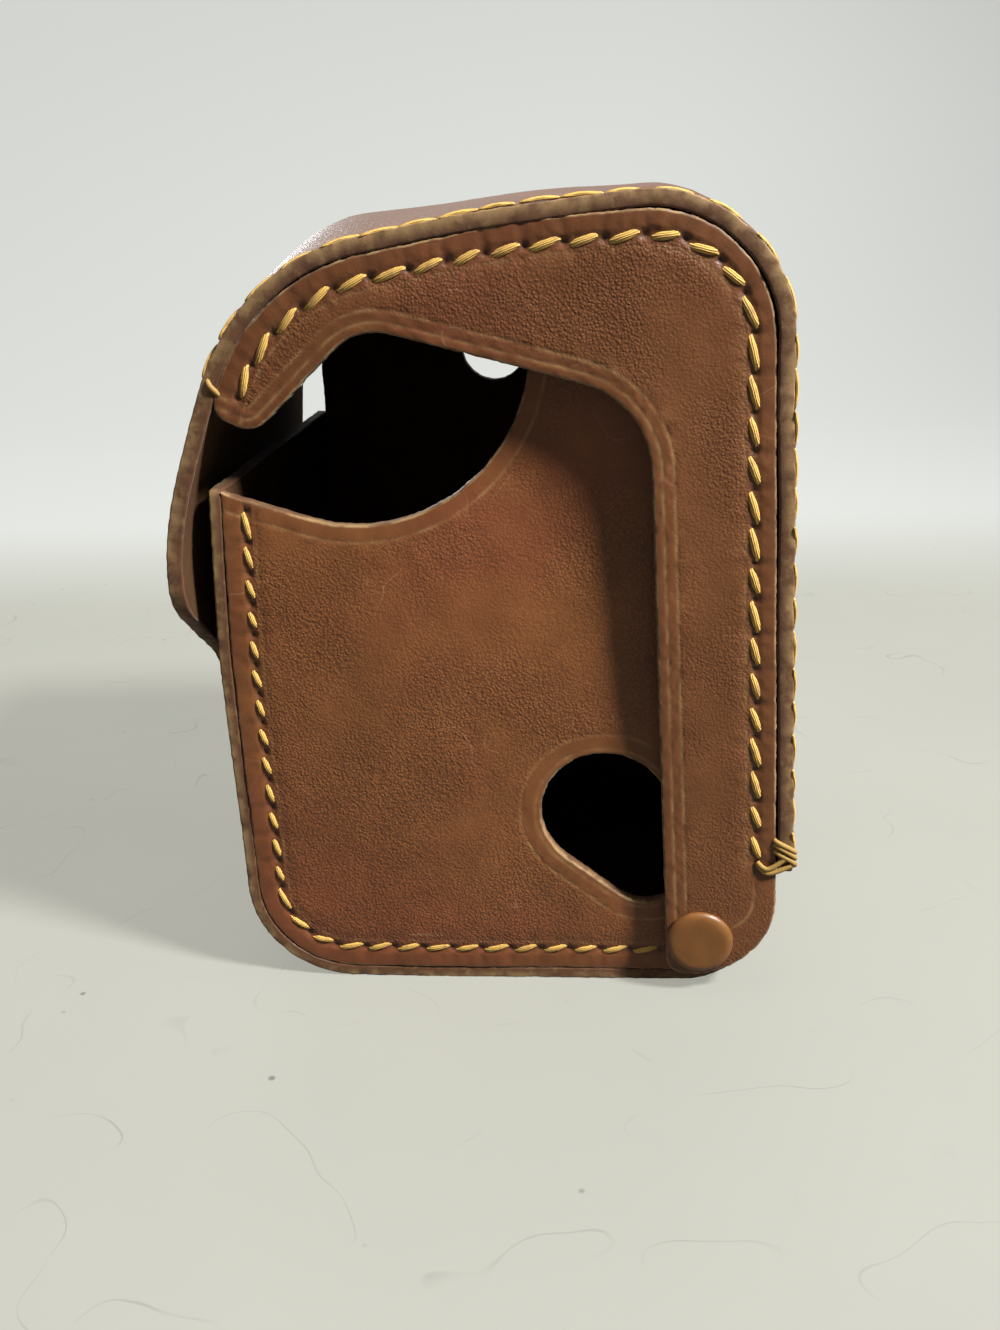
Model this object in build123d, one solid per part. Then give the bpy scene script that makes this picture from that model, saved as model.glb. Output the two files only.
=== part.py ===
from build123d import *
import os
from math import acos, atan2, cos, hypot, sin

# A stiff leather case for a box-shaped camera, in millimetres.
# The lower case is two end panels in one bent band. The cover is a second band with a cheek at
# each end, and it swings back on two rivets at the lower rear corners. The front of the cover
# band hangs free as a flap, whose tongue snaps on to the front wall.
# X runs across the case, from the far end to the near end. Y runs from front to rear. Z is up.
# Side views are drawn in Y and Z, and the whole case is centred over the origin at the end. A
# place is given as so far back from the front wall or proud of it, so far ahead of the rear wall
# or behind it, and as a drop below the top of the cover.

# Main sizes: the lower case from wall to wall, the top of the cover and the width over the cheeks
CASE_DEPTH = 74.65
COVER_TOP_Z = 110.6
COVER_WIDTH = 71.0

# Leather and clearances
COVER_LEATHER = 2.2
CHEEK_LEATHER = 2.0
CHEEK_CLEARANCE = 0.6
PANEL_LEATHER = 1.9
BAND_LEATHER = 1.7
CUT_EDGE_BEVEL = 0.3

# Side view of the lower case
FRONT_WALL_Y = -34.45
FRONT_WALL_TOP_DROP = 35.65
FRONT_WALL_LEAN = 1.3
LEAN_START_DROP = 59.8
LEAN_BEND_R = 80.0
REAR_WALL_TOP_DROP = 19.9
FRONT_CORNER_R = 15.2
REAR_CORNER_R = 10.7
PANEL_TOP_DROP = 15.9
PANEL_REAR_TOP_R = 8.0
PANEL_BROW_DROP = 29.2
PANEL_BROW_BACK = 21.45
PANEL_BROW_LOW_R = 5.0
PANEL_BROW_TOP_R = 20.0

# Openings in the end panels
CUTOUT_BACK = 21.6
CUTOUT_DROP = 18.0
CUTOUT_R = 23.1
CUTOUT_CORNER_RISE = 0.4
LOBE_AHEAD = 21.5
LOBE_Z = 27.3
LOBE_R = 9.1
LOBE_END_AHEAD = 15.9
LOBE_END_Z = 19.3
LOBE_END_R = 6.3
FAR_HOLE_BACK = 33.75
FAR_HOLE_DROP = 25.3
FAR_HOLE_R = 5.6

# Side view of the cover, outer face. The front corner is softer at the near end.
COVER_REAR_FOOT_BEHIND = 4.55
COVER_REAR_FOOT_Z = 19.2
COVER_REAR_TOP_BEHIND = 2.4
COVER_TOP_BEND_AHEAD = 30.3
COVER_TOP_BEND_DROP = 1.3
NEAR_CORNER_BACK = 8.65
NEAR_CORNER_DROP = 7.1
FAR_CORNER_PROUD = 1.05
FAR_CORNER_DROP = 5.9
FLAP_KNEE_PROUD = 4.75
FLAP_KNEE_DROP = 40.4
TONGUE_KNEE_PROUD = 5.05
TONGUE_KNEE_DROP = 55.9
TONGUE_END_PROUD = 4.3
TONGUE_END_DROP = 87.9
CROWN = 2.8
CROWN_REAR = 1.0
REAR_TOP_R = 18.0
TOP_BEND_R = 120.0
NEAR_CORNER_R = 28.5
FAR_CORNER_R = 16.0
FLAP_KNEE_R = 50.0
TONGUE_KNEE_R = 45.0

# Front flap and its tongue, seen from the front
FLAP_HINGE_DROP = 24.9
FLAP_SIDE_DROP = 51.4
FLAP_SIDE_R = 2.5
FLAP_THROAT_HALF = 19.3
FLAP_THROAT_DROP = 63.9
FLAP_THROAT_R = 7.0
TONGUE_HINGE_DROP = 64.9
TONGUE_END_HALF = 14.0
TONGUE_END_R = 11.0
FOLD_GAP = 0.2

# Cheeks
CHEEK_TIP_DROP = 25.5
FAR_TIP_DROP = 22.9
CHEEK_CHIN_BACK = 9.2
CHEEK_CHIN_DROP = 28.2
CHEEK_TIP_R = 2.4
CHEEK_CHIN_R = 3.6
CHEEK_ARCH_BACK = 23.65
CHEEK_ARCH_DROP = 15.1
CHEEK_ARCH_R = 8.0
CHEEK_SHOULDER_AHEAD = 14.9
CHEEK_SHOULDER_DROP = 25.5
CHEEK_SHOULDER_R = 12.0
CHEEK_FOOT_AHEAD = 13.0
CHEEK_FOOT_Z = 2.7
CHEEK_FOOT_R = 2.4
CHEEK_HEEL_R = 12.0

# Pivot rivets
PIVOT_AHEAD = 8.4
PIVOT_Z = 8.4
RIVET_CAP_R = 4.75
RIVET_CAP_RISE = 1.2
CAP_EDGE_R = 0.8
RIVET_POST_R = 2.0
RIVET_BORE_R = 1.1
RIVET_RUNNING = 0.05
RIVET_BACK_R = 4.2
RIVET_BACK_THICK = 0.6

# Press stud
STUD_DROP = 76.4
SNAP_CAP_R = 5.6
SNAP_CAP_RISE = 1.3
SNAP_POST_R = 1.6
SOCKET_R = 4.8
SOCKET_DEPTH = 1.6
SOCKET_FLOOR = 0.3
SOCKET_BORE_R = 2.9
SPRING_WIRE_R = 0.17
SPRING_SETBACK = 0.5
SPRING_SPAN_DEG = 300.0
STUD_FLANGE_R = 4.2
STUD_FLANGE_THICK = 0.5
STUD_HEAD_R = 2.1
STUD_HEAD_RISE = 1.1
STUD_POST_R = 1.3
EYELET_R = 4.0
EYELET_THICK = 0.5

# Thread
COVER_SEAM_INSET = 5.2
COVER_PITCH = 4.77
BODY_SEAM_INSET = 5.0
BODY_PITCH = 4.24
STITCH_LENGTH_SHARE = 0.74
STITCH_WIDTH = 1.1
STITCH_RISE = 0.35
STITCH_SLANT_DEG = 12.0
SEAM_END_MARGIN = 3.0
SEAM_FOOT_MARGIN = 1.5
SEAM_RIVET_MARGIN = 5.5

# Worked out from the values above
REAR_WALL_Y = FRONT_WALL_Y + CASE_DEPTH
FRONT_WALL_TOP = COVER_TOP_Z - FRONT_WALL_TOP_DROP
LEAN_START_Z = COVER_TOP_Z - LEAN_START_DROP
REAR_WALL_TOP = COVER_TOP_Z - REAR_WALL_TOP_DROP
PANEL_TOP_Z = COVER_TOP_Z - PANEL_TOP_DROP
PANEL_BROW_Z = COVER_TOP_Z - PANEL_BROW_DROP
PANEL_BROW_Y = FRONT_WALL_Y + PANEL_BROW_BACK
CUTOUT_Y = FRONT_WALL_Y + CUTOUT_BACK
CUTOUT_Z = COVER_TOP_Z - CUTOUT_DROP
LOBE_Y = REAR_WALL_Y - LOBE_AHEAD
LOBE_END_Y = REAR_WALL_Y - LOBE_END_AHEAD
FAR_HOLE_Y = FRONT_WALL_Y + FAR_HOLE_BACK
FAR_HOLE_Z = COVER_TOP_Z - FAR_HOLE_DROP
COVER_REAR_FOOT_Y = REAR_WALL_Y + COVER_REAR_FOOT_BEHIND
COVER_REAR_TOP_Y = REAR_WALL_Y + COVER_REAR_TOP_BEHIND
COVER_TOP_BEND_Y = REAR_WALL_Y - COVER_TOP_BEND_AHEAD
COVER_TOP_BEND_Z = COVER_TOP_Z - COVER_TOP_BEND_DROP
NEAR_CORNER_Y = FRONT_WALL_Y + NEAR_CORNER_BACK
NEAR_CORNER_Z = COVER_TOP_Z - NEAR_CORNER_DROP
FAR_CORNER_Y = FRONT_WALL_Y - FAR_CORNER_PROUD
FAR_CORNER_Z = COVER_TOP_Z - FAR_CORNER_DROP
FLAP_KNEE_Y = FRONT_WALL_Y - FLAP_KNEE_PROUD
FLAP_KNEE_Z = COVER_TOP_Z - FLAP_KNEE_DROP
TONGUE_KNEE_Y = FRONT_WALL_Y - TONGUE_KNEE_PROUD
TONGUE_KNEE_Z = COVER_TOP_Z - TONGUE_KNEE_DROP
TONGUE_END_Y = FRONT_WALL_Y - TONGUE_END_PROUD
TONGUE_END_Z = COVER_TOP_Z - TONGUE_END_DROP
FLAP_HINGE_Z = COVER_TOP_Z - FLAP_HINGE_DROP
FLAP_SIDE_Z = COVER_TOP_Z - FLAP_SIDE_DROP
FLAP_THROAT_Z = COVER_TOP_Z - FLAP_THROAT_DROP
TONGUE_HINGE_Z = COVER_TOP_Z - TONGUE_HINGE_DROP
CHEEK_TIP_Z = COVER_TOP_Z - CHEEK_TIP_DROP
FAR_TIP_Z = COVER_TOP_Z - FAR_TIP_DROP
CHEEK_CHIN_Y = FRONT_WALL_Y + CHEEK_CHIN_BACK
CHEEK_CHIN_Z = COVER_TOP_Z - CHEEK_CHIN_DROP
CHEEK_ARCH_Y = FRONT_WALL_Y + CHEEK_ARCH_BACK
CHEEK_ARCH_Z = COVER_TOP_Z - CHEEK_ARCH_DROP
CHEEK_SHOULDER_Y = REAR_WALL_Y - CHEEK_SHOULDER_AHEAD
CHEEK_SHOULDER_Z = COVER_TOP_Z - CHEEK_SHOULDER_DROP
CHEEK_FOOT_Y = REAR_WALL_Y - CHEEK_FOOT_AHEAD
PIVOT_Y = REAR_WALL_Y - PIVOT_AHEAD
STUD_Z = COVER_TOP_Z - STUD_DROP
COVER_HALF = COVER_WIDTH / 2
CHEEK_INNER_X = COVER_HALF - CHEEK_LEATHER
BODY_HALF = CHEEK_INNER_X - CHEEK_CLEARANCE
PANEL_INNER_X = BODY_HALF - PANEL_LEATHER
REACH = 200.0
FROM_BELOW = (Align.CENTER, Align.CENTER, Align.MIN)


def inset(corners, distance):
    """An open line of corners, moved to its right-hand side by distance."""
    starts = []
    ways = []
    for (y0, z0), (y1, z1) in zip(corners, corners[1:]):
        length = hypot(y1 - y0, z1 - z0)
        way = ((y1 - y0) / length, (z1 - z0) / length)
        starts.append((y0 + way[1] * distance, z0 - way[0] * distance))
        ways.append(way)
    moved = [starts[0]]
    for start, way, next_start, next_way in zip(starts, ways, starts[1:], ways[1:]):
        gap = (next_start[0] - start[0], next_start[1] - start[1])
        cross = way[0] * next_way[1] - way[1] * next_way[0]
        travel = (gap[0] * next_way[1] - gap[1] * next_way[0]) / cross
        moved.append((start[0] + way[0] * travel, start[1] + way[1] * travel))
    end_y, end_z = corners[-1]
    moved.append((end_y + ways[-1][1] * distance, end_z - ways[-1][0] * distance))
    return moved


def at_height(low, high, z):
    """The point at height z on the straight line through two points."""
    share = (z - low[1]) / (high[1] - low[1])
    return (low[0] + (high[0] - low[0]) * share, z)


def body_line(distance):
    """The lower band from the top of the rear wall round to the top of the front wall,
    moved in by distance from its outer face: its corners and their radii."""
    corners = [
        (REAR_WALL_Y, REAR_WALL_TOP),
        (REAR_WALL_Y, 0),
        (FRONT_WALL_Y, 0),
        (FRONT_WALL_Y, LEAN_START_Z),
        (FRONT_WALL_Y + FRONT_WALL_LEAN, FRONT_WALL_TOP),
    ]
    radii = [REAR_CORNER_R - distance, FRONT_CORNER_R - distance, LEAN_BEND_R - distance]
    return inset(corners, distance), radii


def cover_line(distance, fullness=0.0, crown=0.0):
    """The cover's strip from the end of the tongue up the flap, over the top and down the rear,
    moved in by distance from its outer face: its corners and their radii. fullness is 0 at the
    near end and 1 at the far end, and crown is 1 where the top swells most."""
    front_y = NEAR_CORNER_Y + (FAR_CORNER_Y - NEAR_CORNER_Y) * fullness
    front_z = NEAR_CORNER_Z + (FAR_CORNER_Z - NEAR_CORNER_Z) * fullness + CROWN * crown
    front_r = NEAR_CORNER_R + (FAR_CORNER_R - NEAR_CORNER_R) * fullness
    corners = [
        (TONGUE_END_Y, TONGUE_END_Z),
        (TONGUE_KNEE_Y, TONGUE_KNEE_Z),
        (FLAP_KNEE_Y, FLAP_KNEE_Z),
        (front_y, front_z),
        (COVER_TOP_BEND_Y, COVER_TOP_BEND_Z + CROWN_REAR * crown),
        (COVER_REAR_TOP_Y, COVER_TOP_Z),
        (COVER_REAR_FOOT_Y, COVER_REAR_FOOT_Z),
    ]
    full_radii = [TONGUE_KNEE_R, FLAP_KNEE_R, front_r, TOP_BEND_R, REAR_TOP_R]
    return inset(corners, distance), [radius - distance for radius in full_radii]


def strip_face(outer, inner):
    """The edge view of a strip of leather between two lines."""
    (outer_corners, outer_radii), (inner_corners, inner_radii) = outer, inner
    sides = [
        FilletPolyline(*outer_corners, radius=outer_radii),
        FilletPolyline(*inner_corners, radius=inner_radii),
    ]
    ends = [Line(outer_corners[i], inner_corners[i]) for i in (0, -1)]
    return make_face([edge for line in sides + ends for edge in line.edges()])


def rounded(corners, radii):
    """A closed face with its corners rounded."""
    return make_face(FilletPolyline(*corners, radius=radii, close=True))


def slab(face, low_x, high_x):
    """A side-view face given a thickness from low_x to high_x."""
    return Pos(low_x, 0, 0) * extrude(Plane.YZ * face, high_x - low_x)


def plate(face, low_x, high_x):
    """A slab with the cut edges of its outer face bevelled."""
    solid = slab(face, low_x, high_x)
    outer_face = solid.faces().sort_by(Axis.X)[-1]
    return chamfer(outer_face.edges(), CUT_EDGE_BEVEL)


def bar(radius, low, high):
    """A round bar along Z."""
    return Pos(0, 0, low) * Cylinder(radius, high - low, align=FROM_BELOW)


def domed_bar(radius, low, high):
    """A round bar along Z with its top edge rounded."""
    solid = bar(radius, low, high)
    top = solid.faces().sort_by(Axis.Z)[-1]
    return fillet(top.edges(), CAP_EDGE_R)


def pivot_place(shape):
    """A shape drawn about Z, turned to lie across the case on the rivets' axis."""
    return Pos(0, PIVOT_Y, PIVOT_Z) * Rot(0, 90, 0) * shape


def to_far_end(shape):
    """The mirror image of a shape across the case."""
    return mirror(shape, about=Plane.YZ)


def body_band():
    """Front wall, bottom and rear wall in one bent strip, with the stud's hole."""
    strip = slab(strip_face(body_line(0), body_line(BAND_LEATHER)), -BODY_HALF, BODY_HALF)
    return strip - wall_frame() * bar(STUD_POST_R, -2 * BAND_LEATHER, BAND_LEATHER)


def panel_face():
    """The full outline of an end panel, butted inside the lower band. Its brow slopes back at
    the front, so that the flap can pass over it."""
    (_, rear, front, lean, wall_top), radii = body_line(BAND_LEATHER)
    corners = [
        (rear[0], PANEL_TOP_Z),
        rear,
        front,
        lean,
        wall_top,
        (wall_top[0], PANEL_BROW_Z),
        (PANEL_BROW_Y, PANEL_TOP_Z),
    ]
    upper_radii = [0, PANEL_BROW_LOW_R, PANEL_BROW_TOP_R]
    return rounded(corners, [PANEL_REAR_TOP_R] + radii + upper_radii)


def cutout_face():
    """The large round cut-out, run out along a tangent to the front wall's top edge."""
    corner = (FRONT_WALL_Y, FRONT_WALL_TOP + CUTOUT_CORNER_RISE)
    to_corner = (corner[0] - CUTOUT_Y, corner[1] - CUTOUT_Z)
    bearing = atan2(to_corner[1], to_corner[0]) + acos(CUTOUT_R / hypot(*to_corner))
    tangent = (CUTOUT_Y + CUTOUT_R * cos(bearing), CUTOUT_Z + CUTOUT_R * sin(bearing))
    above = make_face(Polyline(
        corner, tangent, (CUTOUT_Y, CUTOUT_Z), (CUTOUT_Y, REACH), (corner[0], REACH), close=True
    ))
    return Pos(CUTOUT_Y, CUTOUT_Z) * Circle(CUTOUT_R) + above


def lobe_face():
    """The tilted egg-shaped hole low at the rear."""
    large = Pos(LOBE_Y, LOBE_Z) * Circle(LOBE_R)
    small = Pos(LOBE_END_Y, LOBE_END_Z) * Circle(LOBE_END_R)
    return make_hull(large.edges() + small.edges())


def end_panel(openings):
    """An end panel at the near end, with its openings and the rivet's hole."""
    solid = plate(panel_face() - openings, PANEL_INNER_X, BODY_HALF)
    return solid - pivot_place(bar(RIVET_POST_R, 0, REACH))


def cheek(fullness, tip_z):
    """A cheek of the cover at the near end, from its tip over the top and down to the rivet."""
    (_, _, knee, front, bend, rear_top, rear_foot), radii = cover_line(COVER_LEATHER, fullness)
    corners = [
        at_height(knee, front, tip_z),
        front,
        bend,
        rear_top,
        at_height(rear_foot, rear_top, CHEEK_FOOT_Z),
        (CHEEK_FOOT_Y, CHEEK_FOOT_Z),
        (CHEEK_SHOULDER_Y, CHEEK_SHOULDER_Z),
        (CHEEK_ARCH_Y, CHEEK_ARCH_Z),
        (CHEEK_CHIN_Y, CHEEK_CHIN_Z),
    ]
    inner_radii = [CHEEK_HEEL_R, CHEEK_FOOT_R, CHEEK_SHOULDER_R, CHEEK_ARCH_R, CHEEK_CHIN_R]
    face = rounded(corners, [CHEEK_TIP_R] + radii[2:] + inner_radii)
    solid = plate(face, CHEEK_INNER_X, COVER_HALF)
    return solid - pivot_place(bar(RIVET_POST_R + RIVET_RUNNING, 0, REACH))


def cover_strip():
    """The one strip of leather that gives the cover's band, the flap and the tongue. It is
    straight where it lies on the cheeks and swells between them."""
    near, middle, far = [
        strip_face(cover_line(0, fullness, crown), cover_line(COVER_LEATHER, fullness, crown))
        for fullness, crown in ((0.0, 0.0), (0.5, 1.0), (1.0, 0.0))
    ]
    sections = [
        Pos(x, 0, 0) * (Plane.YZ * face)
        for x, face in ((CHEEK_INNER_X, near), (0, middle), (-CHEEK_INNER_X, far))
    ]
    near_edge = slab(near, CHEEK_INNER_X, COVER_HALF)
    far_edge = slab(far, -COVER_HALF, -CHEEK_INNER_X)
    return near_edge + loft(sections) + far_edge


def front_block(low_z, high_z):
    """The space in front of the case's middle between two heights."""
    size = (2 * REACH, REACH, high_z - low_z)
    return Pos(0, -REACH / 2, low_z) * Box(*size, align=FROM_BELOW)


def front_shape():
    """Front view of the flap and the tongue, as a block in front of the case's middle."""
    corners = [
        (COVER_HALF, FLAP_HINGE_Z),
        (COVER_HALF, FLAP_SIDE_Z),
        (FLAP_THROAT_HALF, FLAP_THROAT_Z),
        (TONGUE_END_HALF, TONGUE_END_Z),
    ]
    mirrored = [(-x, z) for x, z in reversed(corners)]
    radii = [0, FLAP_SIDE_R, FLAP_THROAT_R, TONGUE_END_R]
    face = rounded(corners + mirrored, radii + radii[::-1])
    return extrude(Plane.XZ * face, REACH)


def tongue_frame():
    """The tongue's outer face at the press stud, with Z pointing out."""
    y, z = at_height((TONGUE_END_Y, TONGUE_END_Z), (TONGUE_KNEE_Y, TONGUE_KNEE_Z), STUD_Z)
    outward = (0, TONGUE_END_Z - TONGUE_KNEE_Z, TONGUE_KNEE_Y - TONGUE_END_Y)
    return Plane(origin=(0, y, z), x_dir=(1, 0, 0), z_dir=outward)


def wall_frame():
    """The front wall's outer face at the press stud, with Z pointing out."""
    return Plane(origin=(0, FRONT_WALL_Y, STUD_Z), x_dir=(1, 0, 0), z_dir=(0, -1, 0))


def rivet_cap():
    """Cap and hollow post, from outside the cheek to the panel's inner face."""
    cap_foot = COVER_HALF + RIVET_RUNNING
    cap = domed_bar(RIVET_CAP_R, cap_foot, cap_foot + RIVET_CAP_RISE)
    post = bar(RIVET_POST_R, PANEL_INNER_X, cap_foot)
    return pivot_place(cap + post - bar(RIVET_BORE_R, PANEL_INNER_X, COVER_HALF))


def rivet_back():
    """Flange inside the panel, with the pin that is pressed into the post."""
    flange = bar(RIVET_BACK_R, PANEL_INNER_X - RIVET_BACK_THICK, PANEL_INNER_X)
    return pivot_place(flange + bar(RIVET_BORE_R, PANEL_INNER_X, CHEEK_INNER_X))


def snap_cap():
    """Domed cap outside the tongue, with its post through the leather."""
    cap = domed_bar(SNAP_CAP_R, 0, SNAP_CAP_RISE)
    return tongue_frame() * (cap + bar(SNAP_POST_R, -COVER_LEATHER, 0))


def snap_socket():
    """Socket inside the tongue, open towards the stud."""
    mouth = -COVER_LEATHER - SOCKET_DEPTH
    floor = -COVER_LEATHER - SOCKET_FLOOR
    return tongue_frame() * (bar(SOCKET_R, mouth, -COVER_LEATHER) - bar(SOCKET_BORE_R, mouth, floor))


def snap_spring():
    """Split ring spring against the wall of the socket's bore."""
    height = -COVER_LEATHER - SOCKET_DEPTH + SPRING_SETBACK
    wire = Pos(SOCKET_BORE_R - SPRING_WIRE_R, height) * Circle(SPRING_WIRE_R)
    ring = revolve(Plane.XZ * wire, Axis.Z, SPRING_SPAN_DEG)
    return tongue_frame() * ring


def snap_stud():
    """Stud with a rounded head on the front wall, and its post through the wall."""
    flange = bar(STUD_FLANGE_R, 0, STUD_FLANGE_THICK)
    ball_r = (STUD_HEAD_R**2 + STUD_HEAD_RISE**2) / (2 * STUD_HEAD_RISE)
    ball = Pos(0, 0, STUD_FLANGE_THICK + STUD_HEAD_RISE - ball_r) * Sphere(ball_r)
    head = ball & bar(ball_r, STUD_FLANGE_THICK, REACH)
    return wall_frame() * (flange + head + bar(STUD_POST_R, -BAND_LEATHER, 0))


def stud_eyelet():
    """Flat eyelet inside the front wall, on the stud's post."""
    return wall_frame() * bar(EYELET_R, -BAND_LEATHER - EYELET_THICK, -BAND_LEATHER)


def stitches(path, pitch, face_x, first_z=0.0):
    """One slanted stitch every pitch along a side-view path, on the face at face_x. The path's
    start is left bare as far as the height first_z."""
    length = pitch * STITCH_LENGTH_SHARE
    lozenge = make_face(Polyline(
        (-length / 2, 0), (-length / 4, STITCH_WIDTH / 2),
        (length / 2, 0), (length / 4, -STITCH_WIDTH / 2), close=True
    ))
    solids = []
    count = int(path.length // pitch)
    for number in range(count):
        share = (number + 0.5) / count
        spot = path.position_at(share)
        if not solids and spot.Y < first_z:
            continue
        angle = path.tangent_angle_at(share) + STITCH_SLANT_DEG
        face = Pos(spot.X, spot.Y) * Rot(0, 0, angle) * lozenge
        solids.append(slab(face, face_x, face_x + STITCH_RISE))
    return solids


def cover_stitches(fullness, tip_z):
    """The seam along a cheek at the near end, from its tip to the foot of the cover."""
    (_, _, knee, front, bend, rear_top, rear_foot), radii = cover_line(COVER_SEAM_INSET, fullness)
    end = at_height(rear_foot, rear_top, COVER_REAR_FOOT_Z + SEAM_FOOT_MARGIN)
    path = FilletPolyline(knee, front, bend, rear_top, end, radius=radii[2:])
    return Compound(stitches(path, COVER_PITCH, COVER_HALF, tip_z + SEAM_END_MARGIN))


def body_stitches():
    """The two seams of an end panel at the near end, on either side of the rivet."""
    (rear_top, rear, front, lean, wall_top), radii = body_line(BODY_SEAM_INSET)
    start = (PIVOT_Y - SEAM_RIVET_MARGIN, rear[1])
    end = at_height(lean, wall_top, FRONT_WALL_TOP - SEAM_END_MARGIN)
    lower = FilletPolyline(start, front, lean, end, radius=radii[1:])
    low_rear = (rear[0], PIVOT_Z + SEAM_RIVET_MARGIN)
    high_rear = (rear[0], REAR_WALL_TOP - SEAM_END_MARGIN)
    upper = Line(high_rear, low_rear)
    solids = stitches(upper, BODY_PITCH, BODY_HALF) + stitches(lower, BODY_PITCH, BODY_HALF)
    return Compound(solids)


def build_case():
    """Every piece of the case, by name."""
    strip = cover_strip()
    flap_top = FLAP_HINGE_Z - FOLD_GAP / 2
    flap_foot = TONGUE_HINGE_Z + FOLD_GAP / 2
    tongue_top = TONGUE_HINGE_Z - FOLD_GAP / 2
    shape = front_shape()
    post_hole = tongue_frame() * bar(SNAP_POST_R, -REACH, REACH)
    far_hole = Pos(FAR_HOLE_Y, FAR_HOLE_Z) * Circle(FAR_HOLE_R)
    return {
        "body_band": body_band(),
        "near_end_panel": end_panel(cutout_face() + lobe_face()),
        "far_end_panel": to_far_end(end_panel(far_hole)),
        "near_body_stitches": body_stitches(),
        "far_body_stitches": to_far_end(body_stitches()),
        "cover_band": strip - front_block(-REACH, FLAP_HINGE_Z + FOLD_GAP / 2),
        "near_cheek": cheek(0.0, CHEEK_TIP_Z),
        "far_cheek": to_far_end(cheek(1.0, FAR_TIP_Z)),
        "near_cover_stitches": cover_stitches(0.0, CHEEK_TIP_Z),
        "far_cover_stitches": to_far_end(cover_stitches(1.0, FAR_TIP_Z)),
        "near_rivet_cap": rivet_cap(),
        "near_rivet_back": rivet_back(),
        "far_rivet_cap": to_far_end(rivet_cap()),
        "far_rivet_back": to_far_end(rivet_back()),
        "front_flap": strip & shape & front_block(flap_foot, flap_top),
        "snap_tongue": (strip & shape & front_block(-REACH, tongue_top)) - post_hole,
        "snap_cap": snap_cap(),
        "snap_socket": snap_socket(),
        "snap_spring": snap_spring(),
        "snap_stud": snap_stud(),
        "stud_eyelet": stud_eyelet(),
    }


def save(pieces):
    """Stand the case centred over the origin and write one file for each piece."""
    box = Compound([solid for shape in pieces.values() for solid in shape.solids()]).bounding_box()
    centre = box.center()
    to_origin = Pos(-centre.X, -centre.Y, -box.min.Z)
    os.makedirs("parts", exist_ok=True)
    for name, shape in pieces.items():
        solids = shape.solids()
        single = solids[0] if len(solids) == 1 else Compound(solids)
        export_step(to_origin * single, f"parts/{name}.step")
    print("moved by", -centre.X, -centre.Y, -box.min.Z)
    print("size", box.size)


save(build_case())
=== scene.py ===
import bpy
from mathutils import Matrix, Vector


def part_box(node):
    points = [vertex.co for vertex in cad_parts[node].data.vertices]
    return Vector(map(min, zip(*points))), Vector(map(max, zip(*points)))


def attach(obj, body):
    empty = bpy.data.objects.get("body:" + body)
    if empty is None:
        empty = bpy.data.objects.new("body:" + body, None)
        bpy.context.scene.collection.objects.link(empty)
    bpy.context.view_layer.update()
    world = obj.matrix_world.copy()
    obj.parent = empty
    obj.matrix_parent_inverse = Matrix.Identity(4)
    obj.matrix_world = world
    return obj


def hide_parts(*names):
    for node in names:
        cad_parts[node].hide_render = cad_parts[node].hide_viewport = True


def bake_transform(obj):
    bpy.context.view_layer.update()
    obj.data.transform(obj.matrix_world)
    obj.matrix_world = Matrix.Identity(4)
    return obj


bl_info = {
    "name": "Leather camera case",
    "version": (1, 0, 0),
    "blender": (4, 5, 0),
    "location": "3D view > Sidebar > Camera case",
    "description": "Dresses the leather camera case: leather, thread, rivets, press stud and stage",
    "category": "Object",
}

import math

import bmesh
import bpy
import numpy as np
from mathutils import Matrix, Vector
from mathutils.geometry import delaunay_2d_cdt
from mathutils.kdtree import KDTree

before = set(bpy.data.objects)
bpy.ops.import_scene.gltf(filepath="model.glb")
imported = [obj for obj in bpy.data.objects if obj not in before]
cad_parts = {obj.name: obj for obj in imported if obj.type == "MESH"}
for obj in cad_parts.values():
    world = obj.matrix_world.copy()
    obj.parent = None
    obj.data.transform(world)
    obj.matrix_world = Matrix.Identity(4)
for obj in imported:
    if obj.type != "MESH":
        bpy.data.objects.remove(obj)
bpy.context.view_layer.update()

MM = 0.001

# Sizes of the case in millimetres, as in its source. Side views are drawn in Y and Z.
FRONT_WALL_Y = -34.45
FRONT_WALL_TOP = 74.95
FRONT_WALL_LEAN = 1.3
LEAN_START_Z = 50.8
REAR_WALL_Y = 40.2
REAR_WALL_TOP = 90.7
BODY_RADII = (10.7, 15.2, 80.0)
BODY_HALF = 32.9
BAND_LEATHER = 1.7
PANEL_LEATHER = 1.9
PANEL_TOP_Z = 94.7
PANEL_REAR_TOP_R = 8.0
PANEL_BROW = (-13.0, 84.6)
PANEL_BROW_RADII = (3.0, 20.0)
CUTOUT_CORNER_RISE = 0.4
CUTOUT = (-12.85, 92.6)
CUTOUT_R = 23.1
LOBE = (18.7, 27.3)
LOBE_R = 9.1
LOBE_END = (24.3, 19.3)
LOBE_END_R = 6.3
FAR_HOLE = (-0.7, 85.3)
FAR_HOLE_R = 5.6
COVER_HALF = 35.5
COVER_LEATHER = 2.2
CHEEK_LEATHER = 2.0
CHEEK_INNER_X = COVER_HALF - CHEEK_LEATHER
TONGUE_END = (-38.75, 22.7)
TONGUE_KNEE = (-39.5, 54.7)
FLAP_KNEE = (-39.2, 70.2)
NEAR_CORNER = (-25.8, 103.5)
FAR_CORNER = (-35.5, 104.7)
TOP_BEND = (9.9, 109.3)
REAR_TOP = (42.6, 110.6)
REAR_FOOT = (44.75, 19.2)
NEAR_CORNER_R = 28.5
FAR_CORNER_R = 16.0
TONGUE_KNEE_R = 45.0
FLAP_KNEE_R = 50.0
TOP_BEND_R = 120.0
REAR_TOP_R = 18.0
CROWN = 2.8
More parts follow.
